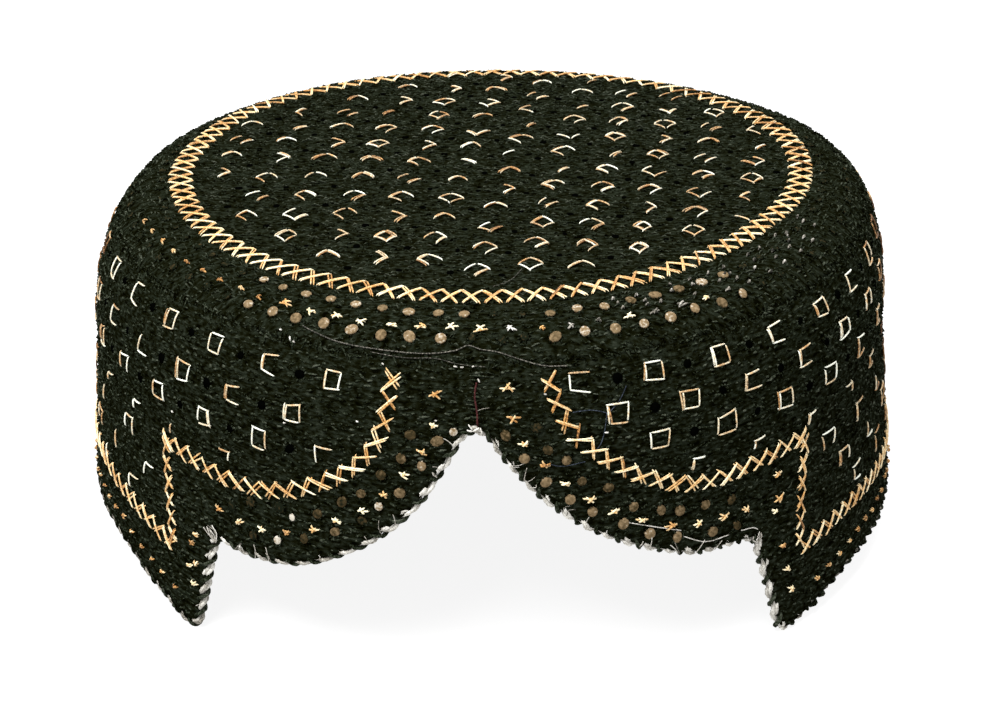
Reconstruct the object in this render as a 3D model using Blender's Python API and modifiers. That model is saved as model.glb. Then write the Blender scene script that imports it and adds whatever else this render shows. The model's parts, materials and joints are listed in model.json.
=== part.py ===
"""A Sindhi cap: a round, nearly flat crown, a side band whose front hem is cut in an arch, and an edging cord.

Metres, +Z up, the front of the cap towards -Y. The cap is modelled round its own axis, with the table at zero,
and then placed with the origin on the table under the middle of its box. It stands on the two front tips and
the nape of its hem. Azimuths are in degrees from the centre front, positive towards +X. Every cloth surface is
worked out from one turned profile, which is then pushed a little out of round, as a soft cap is.
"""

import math

import bmesh
import bpy
import numpy as np
from mathutils import Vector

# Driving dimensions of the whole cap.
TOP_HEIGHT = 0.0797  # the flat top's edge, above the table
TOP_RADIUS = 0.0730  # the flat top, up to where the shoulder starts to turn down
SHOULDER_WIDTH = 0.0190  # how far the shoulder reaches out before it has become the upright side
SHOULDER_RADIUS = TOP_RADIUS + SHOULDER_WIDTH
SHOULDER_DROP = 0.0330  # from the flat top down to there
SHOULDER_FULLNESS = 2.5  # 2 is a plain quarter ellipse, more is a squarer shoulder
HEM_FLARE = 0.0034  # the side flares out this much more down to the table
HEM_RADIUS = SHOULDER_RADIUS + HEM_FLARE
TOP_DOME = 0.0012  # how far the middle of the top stands over its edge

# Walls, seams and the edging.
CROWN_WALL = 0.0020
BAND_WALL = 0.0020
CROWN_SEAM_SHARE = 0.695  # of the shoulder's width, out from the flat top, is where the crown meets the band
CROWN_SEAM_RADIUS = TOP_RADIUS + CROWN_SEAM_SHARE * SHOULDER_WIDTH
SEAM_GAP = 0.0003  # between the crown and the band, and between the band and its edging
FRONT_SEAM_GAP = 0.0004  # the band's two ends, butted at the notch
CORD_DIAMETER = 0.0026  # the edging cord
CREST_FLAT_RADIUS = 0.0120  # the level middle of the crown, which sits on the head

# How far the soft cap is out of round.
LEAN = 0.0009  # the right edge of the flat top stands this much over its middle, the left edge under it
SADDLE = 0.0010  # the sides of the flat top stand this much over its front and back
PUFF = 0.0018  # the widest bulge or dent of the shoulder

# Fineness of the meshes.
CROWN_SPOKES = 72
CORD_BEVEL = 3
STATION_STEP = 0.0080  # between two stations on a straight stretch of hem
STATION_TURN = math.radians(24)  # or this much turning
NARROWEST_COLUMN = 0.0010  # of the band, beside the front seam
HEM_FINE_STEP = 0.0004  # the hem is drawn this finely before its stations are chosen
CORNER_SOFTNESS = 0.0050  # the hem's corners are rounded over this length
CROWDING = 0.99  # an edge point nearer to the cord than this share of its inset is left out

# Bulges and dents of the shoulder: azimuth in degrees, and the share of PUFF that it stands out.
SHOULDER_PUFFS = (
    (-180, 0.10),
    (-160, 1.00),
    (-131, -0.45),
    (-102, -0.80),
    (-72, 0.50),
    (-40, 0.10),
    (-8, -0.30),
    (20, 0.20),
    (45, 0.20),
    (80, -0.75),
    (114, 0.85),
    (156, -1.00),
    (180, 0.10),
)

# Rings of the crown, as shares of the way from the level middle to the crown seam.
CROWN_RINGS = (0.0, 0.22, 0.46, 0.66, 0.80, 0.86, 0.905, 0.94, 0.97, 1.0)

# Rows of the band, as shares of the way down from the crown seam to the hem.
BAND_ROWS = (0.0, 0.05, 0.11, 0.19, 0.30, 0.46, 0.64, 0.82, 1.0)

# The hem's shape, from the notch at the centre front round each side to the nape: where the middle of the
# edging cord runs. Azimuth outwards from the centre front, and the share of the way up from where the cord
# lies on the table to TOP_HEIGHT. The tips are a little low, because rounding a corner lifts it.
# (name, left azimuth, left height, right azimuth, right height)
HEM_LINE = (
    ("notch", 2.3, 0.764, -2.3, 0.764),
    ("notch_turn", 4.3, 0.740, -0.3, 0.740),
    ("notch_flank", 6.2, 0.667, 1.6, 0.680),
    ("lobe_shoulder", 9.9, 0.538, 6.8, 0.556),
    ("lobe_side", 14.2, 0.446, 13.8, 0.447),
    ("lobe_turn", 19.8, 0.365, 20.9, 0.376),
    ("lobe_bottom", 26.6, 0.305, 27.2, 0.333),
    ("lobe_end", 33.8, 0.291, 32.4, 0.326),
    ("step", 40.2, 0.305, 37.1, 0.318),
    ("step_side", 41.8, 0.156, 39.3, 0.176),
    ("tip", 43.4, -0.006, 41.7, -0.006),
    ("tip_heel", 45.8, 0.000, 44.2, 0.002),
    ("tip_side", 49.6, 0.032, 49.8, 0.034),
    ("low_side", 54.6, 0.063, 54.8, 0.059),
    ("side", 60.5, 0.098, 61.0, 0.076),
    ("ear_front", 71.0, 0.118, 71.0, 0.086),
    ("ear", 88.0, 0.121, 88.0, 0.083),
    ("ear_back", 110.0, 0.097, 110.0, 0.065),
    ("nape_side", 134.0, 0.041, 134.0, 0.027),
    ("nape_turn", 156.0, 0.002, 156.0, 0.002),
    ("nape", 180.0, 0.0, 180.0, 0.0),
)
HEM_CORNERS = ("notch", "step", "tip")
NOTCH_AZIMUTH = -HEM_LINE[0][1]

# Colours and roughness of the materials.
BLACK_CLOTH = (0.010, 0.014, 0.011, 1.0)
CLOTH_ROUGHNESS = 0.85
EDGING_THREAD = (0.30, 0.29, 0.27, 1.0)
THREAD_ROUGHNESS = 0.75


def clear_scene():
    """Remove what a new Blender file holds."""
    for thing in list(bpy.data.objects):
        bpy.data.objects.remove(thing)


def make_collection(name):
    collection = bpy.data.collections.new(name)
    bpy.context.scene.collection.children.link(collection)
    return collection


def make_material(name, colour, roughness):
    material = bpy.data.materials.new(name)
    material.use_nodes = True
    shader = material.node_tree.nodes["Principled BSDF"]
    shader.inputs["Base Color"].default_value = colour
    shader.inputs["Roughness"].default_value = roughness
    shader.inputs["Metallic"].default_value = 0.0
    return material


def smooth(share):
    """Ease in and out between 0 and 1."""
    return share * share * (3 - 2 * share)


def shoulder_puff(azimuth):
    """The share of PUFF by which the shoulder stands out, eased between the rows of the table."""
    azimuth = (azimuth + 180) % 360 - 180
    for (start, before), (end, after) in zip(SHOULDER_PUFFS, SHOULDER_PUFFS[1:]):
        if start <= azimuth <= end:
            return before + (after - before) * smooth((azimuth - start) / (end - start))
    return 0.0


def height_at(radius):
    """Height of the turned profile over the table, for a radius on the top or the shoulder."""
    if radius < TOP_RADIUS:
        return TOP_HEIGHT + TOP_DOME * (1 - (radius / TOP_RADIUS) ** 2)
    out = min((radius - TOP_RADIUS) / (SHOULDER_RADIUS - TOP_RADIUS), 1.0)
    up = (1 - out**SHOULDER_FULLNESS) ** (1 / SHOULDER_FULLNESS)
    return TOP_HEIGHT - SHOULDER_DROP * (1 - up)


def radius_at(height):
    """Radius of the turned profile, for a height on the shoulder or the side."""
    drop = TOP_HEIGHT - height
    if drop > SHOULDER_DROP:
        below = (drop - SHOULDER_DROP) / (TOP_HEIGHT - SHOULDER_DROP)
        return SHOULDER_RADIUS + (HEM_RADIUS - SHOULDER_RADIUS) * below
    up = 1 - max(drop, 0.0) / SHOULDER_DROP
    out = (1 - up**SHOULDER_FULLNESS) ** (1 / SHOULDER_FULLNESS)
    return TOP_RADIUS + (SHOULDER_RADIUS - TOP_RADIUS) * out


def soft_point(azimuth, radius, height):
    """A point of the turned profile, pushed out of round as the soft cap is."""
    out = min(max((radius - TOP_RADIUS) / (SHOULDER_RADIUS - TOP_RADIUS), 0.0), 1.0)
    fade = min(max(height / (TOP_HEIGHT - SHOULDER_DROP), 0.0), 1.0)
    radius = radius + PUFF * shoulder_puff(azimuth) * out * fade
    angle = math.radians(azimuth)
    x = radius * math.sin(angle)
    y = -radius * math.cos(angle)
    level = max(radius - CREST_FLAT_RADIUS, 0.0) / (TOP_RADIUS - CREST_FLAT_RADIUS)
    across = LEAN * math.sin(angle) * level
    saddle = SADDLE * (math.sin(angle) ** 2 - math.cos(angle) ** 2) * level**2
    return Vector((x, y, height + (across + saddle) * height / TOP_HEIGHT))


def eased_curve(points, step):
    """Points along a Catmull-Rom curve through the given ones, about a step apart."""
    padded = [2 * points[0] - points[1], *points, 2 * points[-1] - points[-2]]
    line = []
    for a, b, c, d in zip(padded, padded[1:], padded[2:], padded[3:]):
        count = max(int(np.linalg.norm(c - b) / step), 2)
        for t in np.arange(count) / count:
            bend = (2 * a - 5 * b + 4 * c - d) * t**2 + (3 * b - a - 3 * c + d) * t**3
            line.append(0.5 * (2 * b + (c - a) * t + bend))
    line.append(points[-1])
    return line


def flat_hem_line():
    """The cord's middle on the unrolled side: distance round the hem and height, from the notch, leftwards."""
    corners = [row[0] for row in HEM_LINE]
    stops = [corners.index(name) for name in HEM_CORNERS] + [len(HEM_LINE) - 1]

    def side(azimuth_column, height_column, sign):
        points = []
        for row in HEM_LINE:
            along = sign * math.radians(row[azimuth_column]) * HEM_RADIUS
            lowest = CORD_DIAMETER / 2
            points.append(np.array((along, lowest + row[height_column] * (TOP_HEIGHT - lowest))))
        line = []
        for start, end in zip(stops, stops[1:]):
            line += eased_curve(points[start : end + 1], HEM_FINE_STEP)[:-1]
        line.append(points[-1])
        return line

    left = side(1, 2, -1)
    right = side(3, 4, 1)
    once_round = np.array((2 * math.pi * HEM_RADIUS, 0.0))
    return np.array(left + [point - once_round for point in right[-2:0:-1]])


def soften_corners(line):
    """Round the corners of the closed flat hem line by averaging it over a short length."""
    once_round = np.array((2 * math.pi * HEM_RADIUS, 0.0))
    closed = np.vstack([line, line[0] - once_round])
    lengths = np.concatenate([[0.0], np.cumsum(np.linalg.norm(np.diff(closed, axis=0), axis=1))])
    even = np.arange(0.0, lengths[-1], HEM_FINE_STEP)
    samples = np.array([np.interp(even, lengths, closed[:, axis]) for axis in (0, 1)]).T
    reach = int(CORNER_SOFTNESS / HEM_FINE_STEP / 2)
    before = samples[-reach:] + once_round
    after = samples[:reach] - once_round
    wide = np.vstack([before, samples, after])
    weights = np.hanning(2 * reach + 3)[1:-1]
    weights /= weights.sum()
    return np.array([np.convolve(wide[:, axis], weights, mode="valid") for axis in (0, 1)]).T


def hem_stations(line):
    """Stations along the hem, close together where it turns: the cord's middle, and the way into the cloth."""
    once_round = np.array((2 * math.pi * HEM_RADIUS, 0.0))
    ahead = np.vstack([line[1:], line[:1] - once_round])
    behind = np.vstack([line[-1:] + once_round, line[:-1]])
    along = ahead - behind
    heading = np.unwrap(np.arctan2(along[:, 1], along[:, 0]))
    turning = np.abs(np.diff(heading, append=heading[-1]))
    effort = np.cumsum(HEM_FINE_STEP / STATION_STEP + turning / STATION_TURN)
    count = int(effort[-1])
    chosen = np.searchsorted(effort, np.arange(count) * effort[-1] / count)
    into_cloth = np.stack([-np.sin(heading), np.cos(heading)], axis=1) * -1
    return [(line[i], into_cloth[i]) for i in chosen]


def azimuth_and_height(flat_point):
    along, height = flat_point
    return math.degrees(along / HEM_RADIUS), height


def band_edge(line, stations):
    """The band's edge, beside the cord, as a strip that starts and ends at the front seam.

    Inside a corner too tight for it, where it would come closer to the cord again, the edge leaves points out.
    """
    start_azimuth = NOTCH_AZIMUTH - math.degrees(FRONT_SEAM_GAP / 2 / HEM_RADIUS)
    end_azimuth = start_azimuth - 360 + math.degrees(FRONT_SEAM_GAP / HEM_RADIUS)
    inset = CORD_DIAMETER / 2 + SEAM_GAP
    edge = []
    for point, inwards in stations:
        place = point + inset * inwards
        if np.linalg.norm(line - place, axis=1).min() > inset * CROWDING:
            edge.append(azimuth_and_height(place))
    gap = math.degrees(NARROWEST_COLUMN / HEM_RADIUS)
    inside = [place for place in edge if end_azimuth + gap < place[0] < start_azimuth - gap]
    seam_height = max(height for _, height in edge)
    return [(start_azimuth, seam_height), *inside, (end_azimuth, seam_height)]


def face_outwards(mesh):
    """Point an open surface's faces away from the middle of the cap."""
    bmesh.ops.recalc_face_normals(mesh, faces=mesh.faces)
    middle = Vector((0, 0, TOP_HEIGHT / 2))
    outwards = sum((face.calc_center_median() - middle).dot(face.normal) for face in mesh.faces)
    if outwards < 0:
        bmesh.ops.reverse_faces(mesh, faces=mesh.faces)


def finish_cloth(mesh, name, wall, collection, material):
    """Make an object of an open cloth surface and give it its wall, inwards."""
    face_outwards(mesh)
    data = bpy.data.meshes.new(name)
    mesh.to_mesh(data)
    mesh.free()
    data.shade_smooth()
    data.materials.append(material)
    cloth = bpy.data.objects.new(name, data)
    collection.objects.link(cloth)
    thickness = cloth.modifiers.new("Wall", "SOLIDIFY")
    thickness.thickness = wall
    thickness.offset = -1.0
    thickness.use_even_offset = True
    return cloth


def make_crown(collection, material):
    """The round top: a profile spun about the middle, closed by the level face at its crest, then softened."""
    mesh = bmesh.new()
    reach = CROWN_SEAM_RADIUS - SEAM_GAP / 2 - CREST_FLAT_RADIUS
    radii = [CREST_FLAT_RADIUS + share * reach for share in CROWN_RINGS]
    profile = [mesh.verts.new((0.0, -radius, height_at(radius))) for radius in radii]
    edges = [mesh.edges.new(pair) for pair in zip(profile, profile[1:])]
    bmesh.ops.spin(
        mesh,
        geom=profile + edges,
        cent=(0, 0, 0),
        axis=(0, 0, 1),
        angle=2 * math.pi,
        steps=CROWN_SPOKES,
        use_merge=True,
    )
    between_rings = (radii[0] + radii[1]) / 2
    crest = [edge for edge in mesh.edges if all(vert.co.xy.length < between_rings for vert in edge.verts)]
    bmesh.ops.contextual_create(mesh, geom=crest)
    for vert in mesh.verts:
        azimuth = math.degrees(math.atan2(vert.co.x, -vert.co.y))
        vert.co = soft_point(azimuth, vert.co.xy.length, vert.co.z)
    return finish_cloth(mesh, "crown", CROWN_WALL, collection, material)


def make_band(collection, material, columns):
    """The side strip: a grid wrapped round the profile, from the crown seam down to its edge at the hem."""
    top_height = height_at(CROWN_SEAM_RADIUS + SEAM_GAP / 2)
    mesh = bmesh.new()
    bmesh.ops.create_grid(mesh, x_segments=len(columns) - 1, y_segments=len(BAND_ROWS) - 1, size=0.5)
    for vert in mesh.verts:
        azimuth, hem_height = columns[round((vert.co.x + 0.5) * (len(columns) - 1))]
        share = BAND_ROWS[round((0.5 - vert.co.y) * (len(BAND_ROWS) - 1))]
        height = top_height + share * (hem_height - top_height)
        vert.co = soft_point(azimuth, radius_at(height), height)
    return finish_cloth(mesh, "band", BAND_WALL, collection, material)


def make_hem_cord(collection, material, stations):
    """The edging cord: a closed curve with a round bevel, under the middle of the band's edge."""
    curve = bpy.data.curves.new("hem_cord", "CURVE")
    curve.dimensions = "3D"
    curve.bevel_depth = CORD_DIAMETER / 2
    curve.bevel_resolution = CORD_BEVEL
    curve.resolution_u = 1
    curve.render_resolution_u = 0
    spline = curve.splines.new("POLY")
    spline.points.add(len(stations) - 1)
    spline.use_cyclic_u = True
    for point, (place, _) in zip(spline.points, stations):
        azimuth, height = azimuth_and_height(place)
        point.co = (*soft_point(azimuth, radius_at(height) - BAND_WALL / 2, height), 1.0)
    curve.materials.append(material)
    cord = bpy.data.objects.new("hem_cord", curve)
    collection.objects.link(cord)
    return cord


def stand_at_origin(pieces):
    """Place the pieces so that the origin is under the middle of their box, on the table."""
    graph = bpy.context.evaluated_depsgraph_get()
    corners = []
    for piece in pieces:
        shape = piece.evaluated_get(graph)
        corners += [vert.co.copy() for vert in shape.to_mesh().vertices]
        shape.to_mesh_clear()
    low = Vector(min(corner[axis] for corner in corners) for axis in range(3))
    high = Vector(max(corner[axis] for corner in corners) for axis in range(3))
    for piece in pieces:
        piece.location = (-(low.x + high.x) / 2, -(low.y + high.y) / 2, -low.z)


def main():
    clear_scene()
    cap = make_collection("sindhi_cap")
    line = soften_corners(flat_hem_line())
    stations = hem_stations(line)
    crown_cloth = make_material("crown_cloth", BLACK_CLOTH, CLOTH_ROUGHNESS)
    band_cloth = make_material("band_cloth", BLACK_CLOTH, CLOTH_ROUGHNESS)
    edging_cord = make_material("edging_cord", EDGING_THREAD, THREAD_ROUGHNESS)
    crown = make_crown(cap, crown_cloth)
    band = make_band(cap, band_cloth, band_edge(line, stations))
    hem_cord = make_hem_cord(cap, edging_cord, stations)
    stand_at_origin([crown, band, hem_cord])


main()
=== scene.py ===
# %% [markdown]
# # Dressing a Sindhi cap
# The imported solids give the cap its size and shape: a round crown, a side band with an arched front
# hem, and an edging cord. This lesson dresses them in what is really seen: black ribbed embroidery full
# of small eyelets, squares and crosses of gold thread, little mirrors, and a black and white twisted
# cord. Distances are in metres and angles in degrees, and an azimuth is 0 at the front and grows
# towards the right.
# %% Load the frame
import json
import math

import bmesh
import bpy
import numpy as np
from mathutils import Matrix, Vector, noise


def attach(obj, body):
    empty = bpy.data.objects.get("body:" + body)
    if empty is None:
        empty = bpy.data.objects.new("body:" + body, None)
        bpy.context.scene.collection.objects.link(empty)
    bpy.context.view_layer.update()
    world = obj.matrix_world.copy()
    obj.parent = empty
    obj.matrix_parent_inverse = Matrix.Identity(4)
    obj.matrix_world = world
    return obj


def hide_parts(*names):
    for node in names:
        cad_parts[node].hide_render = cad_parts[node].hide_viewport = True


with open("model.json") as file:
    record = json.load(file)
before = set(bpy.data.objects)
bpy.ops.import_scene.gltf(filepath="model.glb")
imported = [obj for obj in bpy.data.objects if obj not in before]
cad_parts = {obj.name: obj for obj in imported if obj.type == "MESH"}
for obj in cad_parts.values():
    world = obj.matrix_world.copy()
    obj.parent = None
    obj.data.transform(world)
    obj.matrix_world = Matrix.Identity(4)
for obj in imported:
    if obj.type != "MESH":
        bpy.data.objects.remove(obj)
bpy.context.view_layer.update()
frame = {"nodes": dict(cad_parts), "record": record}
bpy.ops.object.select_all(action="DESELECT")
print("nodes:", sorted(frame["nodes"]))

# %% [markdown]
# ## The cap's form
# Everything on a cap lies on one curved surface, so the surface comes first. Seen from the side, the
# cap is one line: nearly flat across the top, round over the shoulder, and steep down the side. Turned
# about the middle, that line gives the whole cloth. A soft cap is a little out of round, so each point
# is then pushed out or in.
# %% Sizes of the cap, in metres
TOP_HEIGHT = 0.0797
TOP_RADIUS = 0.0730
SHOULDER_WIDTH = 0.0190
SHOULDER_RADIUS = TOP_RADIUS + SHOULDER_WIDTH
SHOULDER_DROP = 0.0330
SHOULDER_FULLNESS = 2.5
HEM_FLARE = 0.0034
HEM_RADIUS = SHOULDER_RADIUS + HEM_FLARE
TOP_DOME = 0.0012
CLOTH_WALL = 0.0020
CROWN_SEAM_SHARE = 0.695
CORD_DIAMETER = 0.0026
CREST_FLAT_RADIUS = 0.0120
LEAN = 0.0009
SADDLE = 0.0010
PUFF = 0.0018
SHOULDER_PUFFS = (
    (-180, 0.10),
    (-160, 1.00),
    (-131, -0.45),
    (-102, -0.80),
    (-72, 0.50),
    (-40, 0.10),
    (-8, -0.30),
    (20, 0.20),
    (45, 0.20),
    (80, -0.75),
    (114, 0.85),
    (156, -1.00),
    (180, 0.10),
)

# %% Where the cap's axis stands in the frame
rest = Vector(frame["record"]["mounts"][0]["pos_m"])
crest_underside = TOP_HEIGHT + TOP_DOME * (1 - (CREST_FLAT_RADIUS / TOP_RADIUS) ** 2) - CLOTH_WALL
AXIS = Vector((rest.x, rest.y, rest.z - crest_underside))
print("axis:", [round(value, 5) for value in AXIS])


# %% The side view of the cap, as radius and height by the distance from the middle
PROFILE_POINTS = 300


def draw_profile():
    """Points down the cap's side view, with their distance along it from the middle of the top."""
    flat = np.linspace(0, TOP_RADIUS, PROFILE_POINTS)
    turn = np.radians(np.linspace(0, 90, 2 * PROFILE_POINTS))[1:]
    side = np.linspace(0, 1, PROFILE_POINTS)[1:]
    out = np.sin(turn) ** (2 / SHOULDER_FULLNESS)
    up = np.cos(turn) ** (2 / SHOULDER_FULLNESS)
    top = TOP_HEIGHT + TOP_DOME * (1 - (flat / TOP_RADIUS) ** 2)
    radius = np.concatenate([flat, TOP_RADIUS + SHOULDER_WIDTH * out, SHOULDER_RADIUS + HEM_FLARE * side])
    upright = (TOP_HEIGHT - SHOULDER_DROP) * (1 - side)
    height = np.concatenate([top, TOP_HEIGHT - SHOULDER_DROP * (1 - up), upright])
    steps = np.hypot(np.diff(radius), np.diff(height))
    return np.concatenate([[0.0], np.cumsum(steps)]), radius, height


PROFILE_WAY, PROFILE_RADIUS, PROFILE_HEIGHT = draw_profile()
PROFILE_END = PROFILE_WAY[-1]
SEAM_WAY = float(np.interp(TOP_RADIUS + CROWN_SEAM_SHARE * SHOULDER_WIDTH, PROFILE_RADIUS, PROFILE_WAY))
print(f"middle to crown seam: {SEAM_WAY * 1000:.1f} mm, to the table: {PROFILE_END * 1000:.1f} mm")


# %% A point of the cloth for an azimuth and a distance from the middle
def puff_at(azimuth):
    """How far the shoulder stands out there, eased between the rows of the table."""
    places = np.array([row[0] for row in SHOULDER_PUFFS], float)
    shares = np.array([row[1] for row in SHOULDER_PUFFS])
    azimuth = (np.asarray(azimuth, float) + 180) % 360 - 180
    after = np.clip(np.searchsorted(places, azimuth, side="right"), 1, len(places) - 1)
    part = (azimuth - places[after - 1]) / (places[after] - places[after - 1])
    part = part * part * (3 - 2 * part)
    return PUFF * (shares[after - 1] + (shares[after] - shares[after - 1]) * part)


def skin(azimuth, way):
    """Points of the cap's outer surface, for azimuths in degrees and distances from its middle."""
    azimuth, way = np.broadcast_arrays(np.asarray(azimuth, float), np.asarray(way, float))
    radius = np.interp(way, PROFILE_WAY, PROFILE_RADIUS)
    height = np.interp(way, PROFILE_WAY, PROFILE_HEIGHT)
    out = np.clip((radius - TOP_RADIUS) / SHOULDER_WIDTH, 0, 1)
    fade = np.clip(height / (TOP_HEIGHT - SHOULDER_DROP), 0, 1)
    radius = radius + puff_at(azimuth) * out * fade
    turn = np.radians(azimuth)
    level = np.maximum(radius - CREST_FLAT_RADIUS, 0) / (TOP_RADIUS - CREST_FLAT_RADIUS)
    sway = LEAN * np.sin(turn) * level + SADDLE * (np.sin(turn) ** 2 - np.cos(turn) ** 2) * level**2
    x = AXIS.x + radius * np.sin(turn)
    y = AXIS.y - radius * np.cos(turn)
    z = AXIS.z + height + sway * height / TOP_HEIGHT
    return np.stack([x, y, z], axis=-1)


# %% The way along, the way down and the way out of the cloth at a point
PROBE = 0.0003


def skin_axes(azimuth, way):
    """Unit vectors on the cloth: along (to greater azimuth), down the profile, and outwards."""
    way = np.maximum(way, PROBE)
    probe_turn = np.degrees(PROBE / np.interp(way, PROFILE_WAY, PROFILE_RADIUS))
    along = skin(azimuth + probe_turn, way) - skin(azimuth - probe_turn, way)
    down = skin(azimuth, way + PROBE) - skin(azimuth, way - PROBE)
    along = along / np.linalg.norm(along, axis=-1, keepdims=True)
    down = down / np.linalg.norm(down, axis=-1, keepdims=True)
    out = np.cross(down, along)
    return along, down, out / np.linalg.norm(out, axis=-1, keepdims=True)


front_point = skin(0.0, SEAM_WAY)
print("crown seam at the front:", [round(float(value), 4) for value in front_point])

# %% [markdown]
# ## The hem
# The hem is the cap's signature: a notch over the nose, two round lobes, a step and a pointed tip on
# each side, and shallow arches over the ears. It is drawn flat, as a tailor would draw it, from a few
# named points joined by smooth curves, with true corners at the notch, the steps and the tips. Then the
# corners are rounded a little.
# %% The hem's named points, outwards from the centre front
HEM_LINE = (
    # name, left azimuth, left height, right azimuth, right height: heights are shares of the top's
    ("notch", 2.3, 0.764, -2.3, 0.764),
    ("notch_turn", 4.3, 0.740, -0.3, 0.740),
    ("notch_flank", 6.2, 0.667, 1.6, 0.680),
    ("lobe_shoulder", 9.9, 0.538, 6.8, 0.556),
    ("lobe_side", 14.2, 0.446, 13.8, 0.447),
    ("lobe_turn", 19.8, 0.365, 20.9, 0.376),
    ("lobe_bottom", 26.6, 0.305, 27.2, 0.333),
    ("lobe_end", 33.8, 0.291, 32.4, 0.326),
    ("step", 40.2, 0.305, 37.1, 0.318),
    ("step_side", 41.8, 0.156, 39.3, 0.176),
    ("tip", 43.4, -0.006, 41.7, -0.006),
    ("tip_heel", 45.8, 0.000, 44.2, 0.002),
    ("tip_side", 49.6, 0.032, 49.8, 0.034),
    ("low_side", 54.6, 0.063, 54.8, 0.059),
    ("side", 60.5, 0.098, 61.0, 0.076),
    ("ear_front", 71.0, 0.118, 71.0, 0.086),
    ("ear", 88.0, 0.121, 88.0, 0.083),
    ("ear_back", 110.0, 0.097, 110.0, 0.065),
    ("nape_side", 134.0, 0.041, 134.0, 0.027),
    ("nape_turn", 156.0, 0.002, 156.0, 0.002),
    ("nape", 180.0, 0.0, 180.0, 0.0),
)
HEM_CORNERS = ("notch", "step", "tip")
NOTCH_AZIMUTH = -HEM_LINE[0][1]
ONCE_ROUND = np.array((2 * math.pi * HEM_RADIUS, 0.0))
HEM_STEP = 0.0004
CORNER_SOFTNESS = 0.0050


# %% A smooth curve through points
def eased_curve(points, step):
    """Points along a smooth curve through the given ones, about a step apart."""
    padded = [2 * points[0] - points[1], *points, 2 * points[-1] - points[-2]]
    line = []
    for a, b, c, d in zip(padded, padded[1:], padded[2:], padded[3:]):
        count = max(int(np.linalg.norm(c - b) / step), 2)
        for t in np.arange(count) / count:
            bend = (2 * a - 5 * b + 4 * c - d) * t**2 + (3 * b - a - 3 * c + d) * t**3
            line.append(0.5 * (2 * b + (c - a) * t + bend))
    line.append(points[-1])
    return line


# %% The hem drawn flat: distance round the cap, and height over the table
def hem_side(azimuth_column, height_column, sign):
    """One half of the hem, from the notch to the nape."""
    names = [row[0] for row in HEM_LINE]
    stops = [names.index(name) for name in HEM_CORNERS] + [len(names) - 1]
    lowest = CORD_DIAMETER / 2
    points = []
    for row in HEM_LINE:
        round_way = sign * math.radians(row[azimuth_column]) * HEM_RADIUS
        points.append(np.array((round_way, lowest + row[height_column] * (TOP_HEIGHT - lowest))))
    line = []
    for start, end in zip(stops, stops[1:]):
        line += eased_curve(points[start : end + 1], HEM_STEP)[:-1]
    return [*line, points[-1]]


def soften_corners(line):
    """Round the corners of the closed hem by averaging it over a short length."""
    closed = np.vstack([line, line[0] - ONCE_ROUND])
    lengths = np.concatenate([[0.0], np.cumsum(np.linalg.norm(np.diff(closed, axis=0), axis=1))])
    even = np.arange(0.0, lengths[-1], HEM_STEP)
    samples = np.array([np.interp(even, lengths, closed[:, axis]) for axis in (0, 1)]).T
    reach = int(CORNER_SOFTNESS / HEM_STEP / 2)
    wide = np.vstack([samples[-reach:] + ONCE_ROUND, samples, samples[:reach] - ONCE_ROUND])
    weights = np.hanning(2 * reach + 3)[1:-1]
    weights /= weights.sum()
    return np.array([np.convolve(wide[:, axis], weights, mode="valid") for axis in (0, 1)]).T


left_half = hem_side(1, 2, -1)
right_half = hem_side(3, 4, 1)
HEM = soften_corners(np.array(left_half + [point - ONCE_ROUND for point in right_half[-2:0:-1]]))
HEM_LENGTH = len(HEM) * HEM_STEP
print(f"hem drawn in {len(HEM)} points, {HEM_LENGTH * 1000:.0f} mm long")


# %% From the flat drawing onto the cap
COURSE_REACH = 2


def flat_to_cap(flat):
    """Azimuth and distance from the middle of the top, for points of the flat drawing."""
    flat = np.asarray(flat)
    azimuth = np.degrees(flat[..., 0] / HEM_RADIUS)
    way = np.interp(-flat[..., 1], -PROFILE_HEIGHT, PROFILE_WAY)
    return azimuth, way


def hem_offset(station, inset):
    """Flat points at a distance leftwards along the hem from the notch, and inwards into the cloth."""
    index = np.asarray(station, float) / HEM_STEP
    count = len(HEM)
    ahead = (index + COURSE_REACH).astype(int)
    behind = (index - COURSE_REACH).astype(int)
    laps_ahead = np.floor_divide(ahead, count)
    laps_behind = np.floor_divide(behind, count)
    after = HEM[ahead % count] - laps_ahead[..., None] * ONCE_ROUND
    before = HEM[behind % count] - laps_behind[..., None] * ONCE_ROUND
    course = after - before
    course = course / np.linalg.norm(course, axis=-1, keepdims=True)
    inwards = np.stack([course[..., 1], -course[..., 0]], axis=-1)
    return (after + before) / 2 + np.asarray(inset)[..., None] * inwards


# %% [markdown]
# ## Materials
# Black embroidery is never one black: the raised threads catch grey-green light and the needle holes
# between them are nearly black. One flat colour would look like rubber, and a picture of cloth would
# repeat. So each finish mixes a few tones by noise at the scale of real thread, and its bump comes from
# the same noise. On the cloth and the threads that light and shade are painted: where the noise is high
# the surface is raised and painted lighter, and where it is low it sinks and is painted darker, as
# painted shade, so painted light and relief agree.
# %% Small helpers for shader nodes
def new_material(name, colour, roughness):
    """A material with its main shader set, and the node tree and shader to build on."""
    material = bpy.data.materials.new(name)
    material.use_nodes = True
    nodes = material.node_tree
    shader = nodes.nodes["Principled BSDF"]
    shader.inputs["Base Color"].default_value = (*colour, 1.0)
    shader.inputs["Roughness"].default_value = roughness
    return material, nodes, shader


def add_node(nodes, kind, inputs=None, **settings):
    """A node with its settings and inputs filled in. An input given as a socket is linked."""
    node = nodes.nodes.new(kind)
    for key, value in settings.items():
        setattr(node, key, value)
    for key, value in (inputs or {}).items():
        if isinstance(value, bpy.types.NodeSocket):
            nodes.links.new(value, node.inputs[key])
        else:
            node.inputs[key].default_value = value
    return node


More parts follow.
